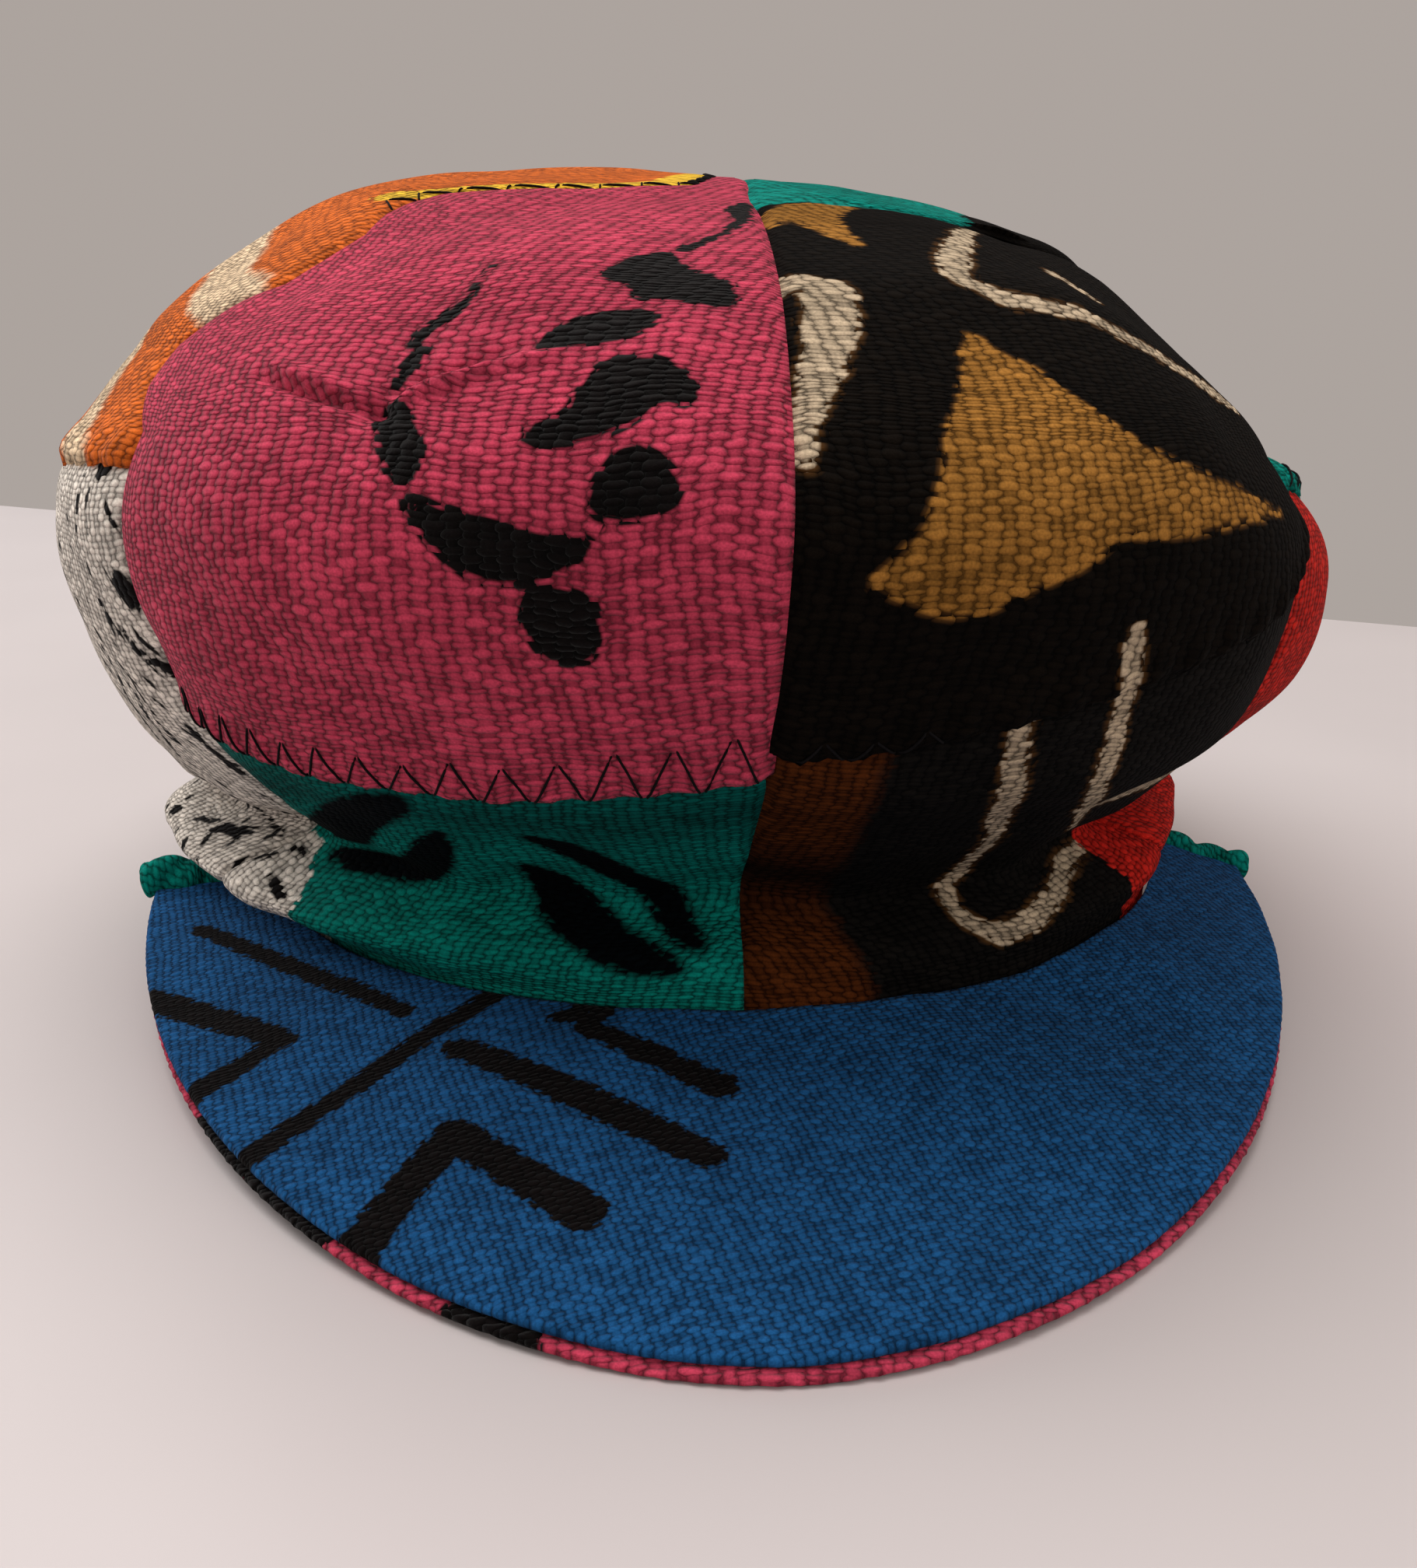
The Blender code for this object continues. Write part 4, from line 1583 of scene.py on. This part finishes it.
FRONT_RIGHT_LOWER_BLACK = (
    blob((-41, 100), (-42, 78), (-41, 62), (-38, 40), (-36, 22), (-39, 17), (-39, 12), (-41, -8),
         (80, -8), (80, 120), (-40, 120)),
)
SIDE_RIGHT_BLACK = (
    blob((-76, 172), (-65, 178), (-46, 201), (-32, 208), (-21, 212), (-11, 216), (-2, 219), (12, 216),
         (16, 196), (10, 176), (-30, 168), (-76, 168)),
)
# Painted shadow: a soft dark brown band across the lower front right cloth, in the crease under the crown's
# bulge
FRONT_RIGHT_PAINTED_SHADE = (
    stroke((-80, 34, 18.0), (-25, 34, 18.0)),
)
FRONT_LEFT_CREAM = (
    blob((-38, 28), (-38, 26), (-33, 24), (-30, 20), (-28, 16), (-27, -8), (-90, -8), (-90, 28)),
)
FRONT_LEFT_DASHES = (
    stroke((-53, 20, 1.2), (-50, 21, 2.2), (-46, 23, 1.0)),
    stroke((-45, 25, 1.0), (-40, 25, 1.6)),
    stroke((-41, 20, 0.9), (-36, 19, 1.8), (-33, 18, 1.0)),
)
# Painted shade: a soft darker green band across the lower front left cloth, just under the pink cloth's lap
# where the crown's bulge shades it
FRONT_LEFT_PAINTED_SHADE = (
    stroke((-60, 62, 18.0), (0, 64, 20.0), (60, 64, 22.0)),
)
FRONT_LEFT_LEAVES = (
    blob((-38, 40), (-34, 48), (-20, 59), (-8, 68), (3, 69), (2, 63), (-6, 55), (-16, 43), (-28, 33),
         (-38, 30)),
    blob((-36, 27), (-26, 31), (-16, 33), (-9, 40), (-2, 49), (6, 58), (6, 46), (0, 33), (-6, 27), (-20, 25)),
    blob((16, 56), (25, 54), (31, 49), (37, 37), (43, 27), (54, 16), (46, 18), (37, 26), (31, 33), (25, 43)),
    blob((14, 42), (18, 38), (23, 31), (29, 27), (39, 21), (52, 14), (45, 12), (37, 14), (30, 17), (20, 22),
         (13, 30)),
)
PEAK_BARS = (
    stroke((-102, -49, 3.8), (-80, -71, 4.2), (-57, -93, 3.2)),
    stroke((-77, -124, 4.6), (-53, -101, 4.4), (-37, -88, 4.0)),
    stroke((-106, -74, 6.2), (-91, -84, 5.4), (-77, -95, 4.6)),
    stroke((-78, -95, 4.4), (-89, -106, 5.4)),
    stroke((-47, -105, 4.8), (-27, -120, 5.6), (-8, -135, 5.2)),
    stroke((-31, -101, 3.2), (-22, -97, 4.2), (-26, -104, 4.4), (-5, -120, 5.2)),
    stroke((-60, -150, 8.4), (-53, -138, 6.4), (-46, -125, 6.0), (-26, -144, 6.6)),
)
UNDER_BARS = (
    stroke((-85, -111, 6.0), (-77, -122, 7.0)),
    stroke((-74, -126, 7.0), (-64, -139, 7.0)),
    stroke((-42, -158, 7.0), (-35, -163, 7.0)),
    stroke((20, -130, 8.0), (60, -110, 8.0)),
    stroke((-20, -140, 6.0), (10, -150, 8.0)),
)
SIDE_LEFT_CREAM = (
    stroke((53, 156, 12.0), (39, 168, 15.0), (28, 172, 13.0), (12, 182, 12.0), (-58, 210, 16.0)),
    stroke((34, 128, 8.0), (17, 141, 13.0), (-3, 158, 14.0), (-57, 190, 18.0)),
)
SIDE_LEFT_YELLOW = (stroke((27, 206, 7.0), (45, 224, 10.0), (47, 244, 9.0), (0, 296, 7.0)),)
SIDE_LEFT_LINES = (
    blob((41, 131), (45, 133), (47, 129), (43, 127)),
    stroke((37, 128, 0.8), (36, 122, 1.2), (33, 116, 0.7)),
    stroke((41, 126, 0.7), (41, 119, 1.0)),
    blob((47, 114), (51, 113), (52, 108), (49, 106), (46, 110)),
    stroke((36, 114, 1.0), (37, 107, 1.8), (38, 101, 1.0)),
    stroke((41, 103, 2.2), (45, 99, 1.8), (50, 96, 3.0), (55, 94, 2.0)),
    stroke((26, 98, 1.2), (25, 90, 1.6), (20, 81, 1.8), (15, 73, 1.3)),
    stroke((31, 98, 0.9), (31, 88, 1.4), (27, 79, 1.4), (21, 70, 1.0)),
    stroke((35, 94, 0.9), (34, 85, 1.2), (31, 76, 1.1)),
    stroke((44, 84, 2.6), (44, 77, 2.2), (43, 70, 2.8)),
    stroke((2, 68, 0.8), (12, 62, 1.2), (22, 54, 1.6), (34, 48, 1.4), (44, 44, 0.9)),
    stroke((6, 72, 0.6), (18, 64, 0.9), (30, 57, 1.1), (40, 50, 0.8)),
    blob((6, 38), (10, 40), (11, 36), (8, 35)),
    stroke((4, 30, 0.9), (12, 27, 1.8), (20, 26, 1.0)),
    stroke((18, 40, 2.4), (23, 42, 2.0)),
    stroke((28, 42, 3.4), (36, 43, 3.0)),
    stroke((17, 16, 1.0), (26, 18, 2.0), (36, 24, 1.8), (42, 30, 1.0)),
    stroke((34, 10, 1.6), (38, 16, 2.6)),
)
BACK_BARS = (
    stroke((-40, 130, 5.0), (0, 165, 5.0), (36, 130, 5.0)),
    stroke((-28, 120, 5.0), (0, 145, 5.0), (26, 120, 5.0)),
    stroke((-6, 190, 4.0), (6, 215, 4.0)),
)
BACK_DOTS = tuple(blob(*((u + 3.2 * math.cos(a), v + 3.2 * math.sin(a)) for a in np.arange(0, 6.2, 1.05)))
                  for u, v in ((-26, 30), (-9, 24), (9, 30), (26, 24), (-18, 48), (0, 54), (18, 48)))

GORES = (
    Gore("back_left", -180.0, 5.3, 5.2, 5.3, OCHRE, GREEN,
         upper_prints=(Print("back_left_bars", INK, BACK_BARS),),
         lower_prints=(Print("back_left_dots", GREEN_INK, BACK_DOTS),)),
    Gore("rear_left", -135.0, 5.6, 5.5, 5.4, RED, CREAM,
         upper_prints=(Print("rear_left_bars", INK, BACK_BARS),), lower_dashes=True),
    Gore("side_left", -90.0, 6.2, 6.25, 6.25, ORANGE, CREAM,
         upper_prints=(Print("side_left_cream", CREAM_PAINT, SIDE_LEFT_CREAM, softness=1.2),
                       Print("side_left_yellow", YELLOW_PAINT, SIDE_LEFT_YELLOW)),
         lower_prints=(Print("side_left_lines", INK, SIDE_LEFT_LINES),), lower_dashes=True),
    Gore("front_left", -45.0, 5.05, 4.88, 5.0, PINK, GREEN,
         upper_prints=(Print("front_left_figure", INK, FRONT_LEFT_FIGURE),),
         # The first print, a soft darker green band, is painted shade under the pink cloth's lap
         lower_prints=(Print("front_left_painted_shade", (0.0010, 0.066, 0.056), FRONT_LEFT_PAINTED_SHADE, softness=9.0),
                       Print("front_left_leaves", GREEN_INK, FRONT_LEFT_LEAVES, softness=0.8),
                       Print("front_left_cream", CREAM.color, FRONT_LEFT_CREAM),
                       Print("front_left_dashes", INK, FRONT_LEFT_DASHES)),
         upper_folds=(Fold((-17, 140), (4, 133), 1.2, -2.2), Fold((8, 134), (20, 141), 1.2, 2.0),
                      Fold((-17, 143), (-1, 137), 2.2, 1.2), Fold((19, 141), (30, 143), 1.3, 1.2),
                      Fold((8, 137), (22, 145), 1.6, -0.9), Fold((4, 132), (6, 135), 2.4, -2.6),
                      Fold((-50, 110), (-20, 100), 9.0, -0.9))),
    Gore("front_right", 0.0, 5.13, 5.45, 6.0, BLACK, BROWN,
         upper_prints=(Print("front_right_tan", TAN_PAINT, FRONT_RIGHT_TAN, HALO_BROWN, 0.5),
                       Print("front_right_white", WHITE_PAINT, FRONT_RIGHT_WHITE, HALO_BROWN, 0.7),
                       Print("front_right_green", GREEN.color, FRONT_RIGHT_GREEN)),
         # The first print, a soft dark brown band, is a painted shadow in the crease under the crown's bulge
         lower_prints=(Print("front_right_painted_shade", (0.012, 0.0042, 0.0020), FRONT_RIGHT_PAINTED_SHADE, softness=7.0),
                       Print("front_right_black", (0.0050, 0.0042, 0.0036), FRONT_RIGHT_LOWER_BLACK,
                             softness=1.5),
                       Print("front_right_strokes", WHITE_PAINT, FRONT_RIGHT_LOWER_WHITE, HALO_BROWN, 0.9),
                       Print("front_right_red", RED.color, FRONT_RIGHT_LOWER_RED))),
    Gore("side_right", 45.0, 6.25, 6.2, 5.9, GREEN, RED,
         upper_prints=(Print("side_right_black", BLACK.color, SIDE_RIGHT_BLACK),)),
    Gore("rear_right", 90.0, 5.4, 5.3, 5.4, BLUE, OCHRE,
         upper_prints=(Print("rear_right_bars", INK, BACK_BARS),),
         lower_prints=(Print("rear_right_dots", INK, BACK_DOTS),)),
    Gore("back_right", 135.0, 5.6, 5.5, 5.6, CREAM, BLACK,
         upper_prints=(Print("back_right_bars", INK, BACK_BARS),),
         lower_prints=(Print("back_right_dots", TAN_PAINT, BACK_DOTS, HALO_BROWN, 0.6),)),
)
ZIGZAGS = (
    Zigzag("front_left", 0.02, 0.985, 0.4, 8.0, 7.4, 0.45),
    Zigzag("front_right", 0.03, 0.20, 0.3, 3.6, 5.2),
    Zigzag("side_left", 200.0, 284.0, 0.8, 4.2, 5.4, beside_seam=True),
    *(Zigzag(name, 0.04, 0.96, 0.3, 5.0, 7.2)
      for name in ("side_right", "rear_left", "rear_right", "back_left", "back_right")),
)


@dataclass(frozen=True)
class Light:
    """One square soft light: its name, place in metres, size, power and colour."""

    name: str
    place: tuple[float, float, float]
    size: float
    power: float
    color: Color


LIGHTS = (
    Light("ceiling", (-0.25, 0.10, 1.30), 1.30, 19.0, (1.0, 0.98, 0.96)),
    Light("window", (-1.10, 0.75, 0.50), 0.60, 7.0, (0.94, 0.97, 1.0)),
    Light("fill", (1.0, -0.7, 0.9), 1.2, 5.0, (1.0, 0.97, 0.94)),
    Light("front", (-0.35, -1.30, 0.85), 0.9, 3.2, (1.0, 0.98, 0.96)),
)


@dataclass
class Studio:
    """The camera, the pale floor and the soft light."""

    distance: float = 339.4
    elevation: float = 17.62
    azimuth: float = 4.10
    roll: float = 0.55
    target: tuple[float, float, float] = (0.91, 0.0, 24.35)
    picture_width: float = 1822.0
    focal_pixels: float = 1900.0
    sensor: float = 36.0
    floor_turn: float = -29.2
    floor_back: float = 432.6
    floor_front: float = 900.0
    floor_side: float = 1100.0
    floor_dark: Color = (0.50, 0.458, 0.458)
    floor_light: Color = (0.53, 0.486, 0.486)
    floor_roughness: float = 0.38
    floor_specular: float = 0.45
    lit_height: float = 0.06
    sky: Color = (0.46, 0.41, 0.38)
    sky_strength: float = 0.90

    def camera(self) -> None:
        """Place the camera at the picture's angle, on a sphere round its target."""
        data = bpy.data.cameras.new("camera")
        data.sensor_fit = "HORIZONTAL"
        data.sensor_width = self.sensor
        data.lens = self.sensor * self.focal_pixels / self.picture_width
        data.clip_start = 0.01
        camera = bpy.data.objects.new("camera", data)
        bpy.context.scene.collection.objects.link(camera)
        side, up = math.radians(self.azimuth), math.radians(self.elevation)
        back = np.array((-math.sin(side) * math.cos(up), -math.cos(side) * math.cos(up), math.sin(up)))
        right = np.cross(UP, back)
        right /= np.linalg.norm(right)
        top = np.cross(back, right)
        lean = math.radians(self.roll)
        turned_right = right * math.cos(lean) + top * math.sin(lean)
        turned_top = top * math.cos(lean) - right * math.sin(lean)
        place = np.array(self.target) + back * self.distance + OPENING
        matrix = np.eye(4)
        matrix[:3] = np.column_stack((turned_right, turned_top, back, place * MM))
        camera.matrix_world = Matrix(matrix.tolist())
        bpy.context.scene.camera = camera

    def floor(self) -> None:
        """Lay a plain pale floor, whose far edge runs at the picture's slant."""
        turn = math.radians(self.floor_turn)
        spin = np.array(((math.cos(turn), -math.sin(turn)), (math.sin(turn), math.cos(turn))))
        corners = np.array(((-self.floor_side, -self.floor_front), (self.floor_side, -self.floor_front),
                            (self.floor_side, self.floor_back), (-self.floor_side, self.floor_back)))
        points = np.column_stack((corners @ spin.T, np.zeros(4))) * MM
        obj = make_object("floor", points, [(0, 1, 2, 3)])
        material = bpy.data.materials.new("pale_floor")
        material.use_nodes = True
        shader = material.node_tree.nodes["Principled BSDF"]
        nodes = NodeTree(material.node_tree)
        solid = nodes.add("ShaderNodeTexCoord").outputs["Object"]
        patchy = nodes.noise(solid, 6.0, 3.0).outputs[0]
        shade = nodes.remap(patchy, 0.3, 0.7, 0.0, 1.0)
        nodes.feed(shader.inputs["Base Color"], nodes.mix(shade, self.floor_dark, self.floor_light))
        shader.inputs["Roughness"].default_value = self.floor_roughness
        shader.inputs["Specular IOR Level"].default_value = self.floor_specular
        obj.data.materials.append(material)

    def hang(self, light: Light) -> None:
        """Hang one light so that it faces the middle of the cap.

        Args:
            light: The light.
        """
        data = bpy.data.lights.new(light.name, "AREA")
        data.size = light.size
        data.energy = light.power
        data.color = light.color
        obj = bpy.data.objects.new(light.name, data)
        bpy.context.scene.collection.objects.link(obj)
        back = np.array(light.place) - UP * self.lit_height
        back = back / np.linalg.norm(back)
        right = np.cross(UP, back)
        right /= np.linalg.norm(right)
        matrix = np.eye(4)
        matrix[:3] = np.column_stack((right, np.cross(back, right), back, light.place))
        obj.matrix_world = Matrix(matrix.tolist())

    def build(self) -> None:
        """Set up the camera, floor, lights and sky."""
        self.camera()
        self.floor()
        for light in LIGHTS:
            self.hang(light)
        world = bpy.data.worlds.new("soft_sky")
        bpy.context.scene.world = world
        world.use_nodes = True
        background = world.node_tree.nodes["Background"]
        background.inputs[0].default_value = (*self.sky, 1.0)
        background.inputs[1].default_value = self.sky_strength
        bpy.context.scene.view_settings.view_transform = "Standard"


def main() -> None:
    """Build the cap and its studio."""
    logging.basicConfig(level=logging.INFO, format="%(message)s")
    Studio().build()
    form = CrownForm()
    dyer = Dyer()
    Crown(form, GORES, dyer).build()
    Peak(form, dyer, (Print("peak_bars", INK, PEAK_BARS),), (Print("under_bars", INK, UNDER_BARS),)).build()
    Stitching(form, GORES, dyer, ZIGZAGS).build()


if __name__ == "__main__":
    main()
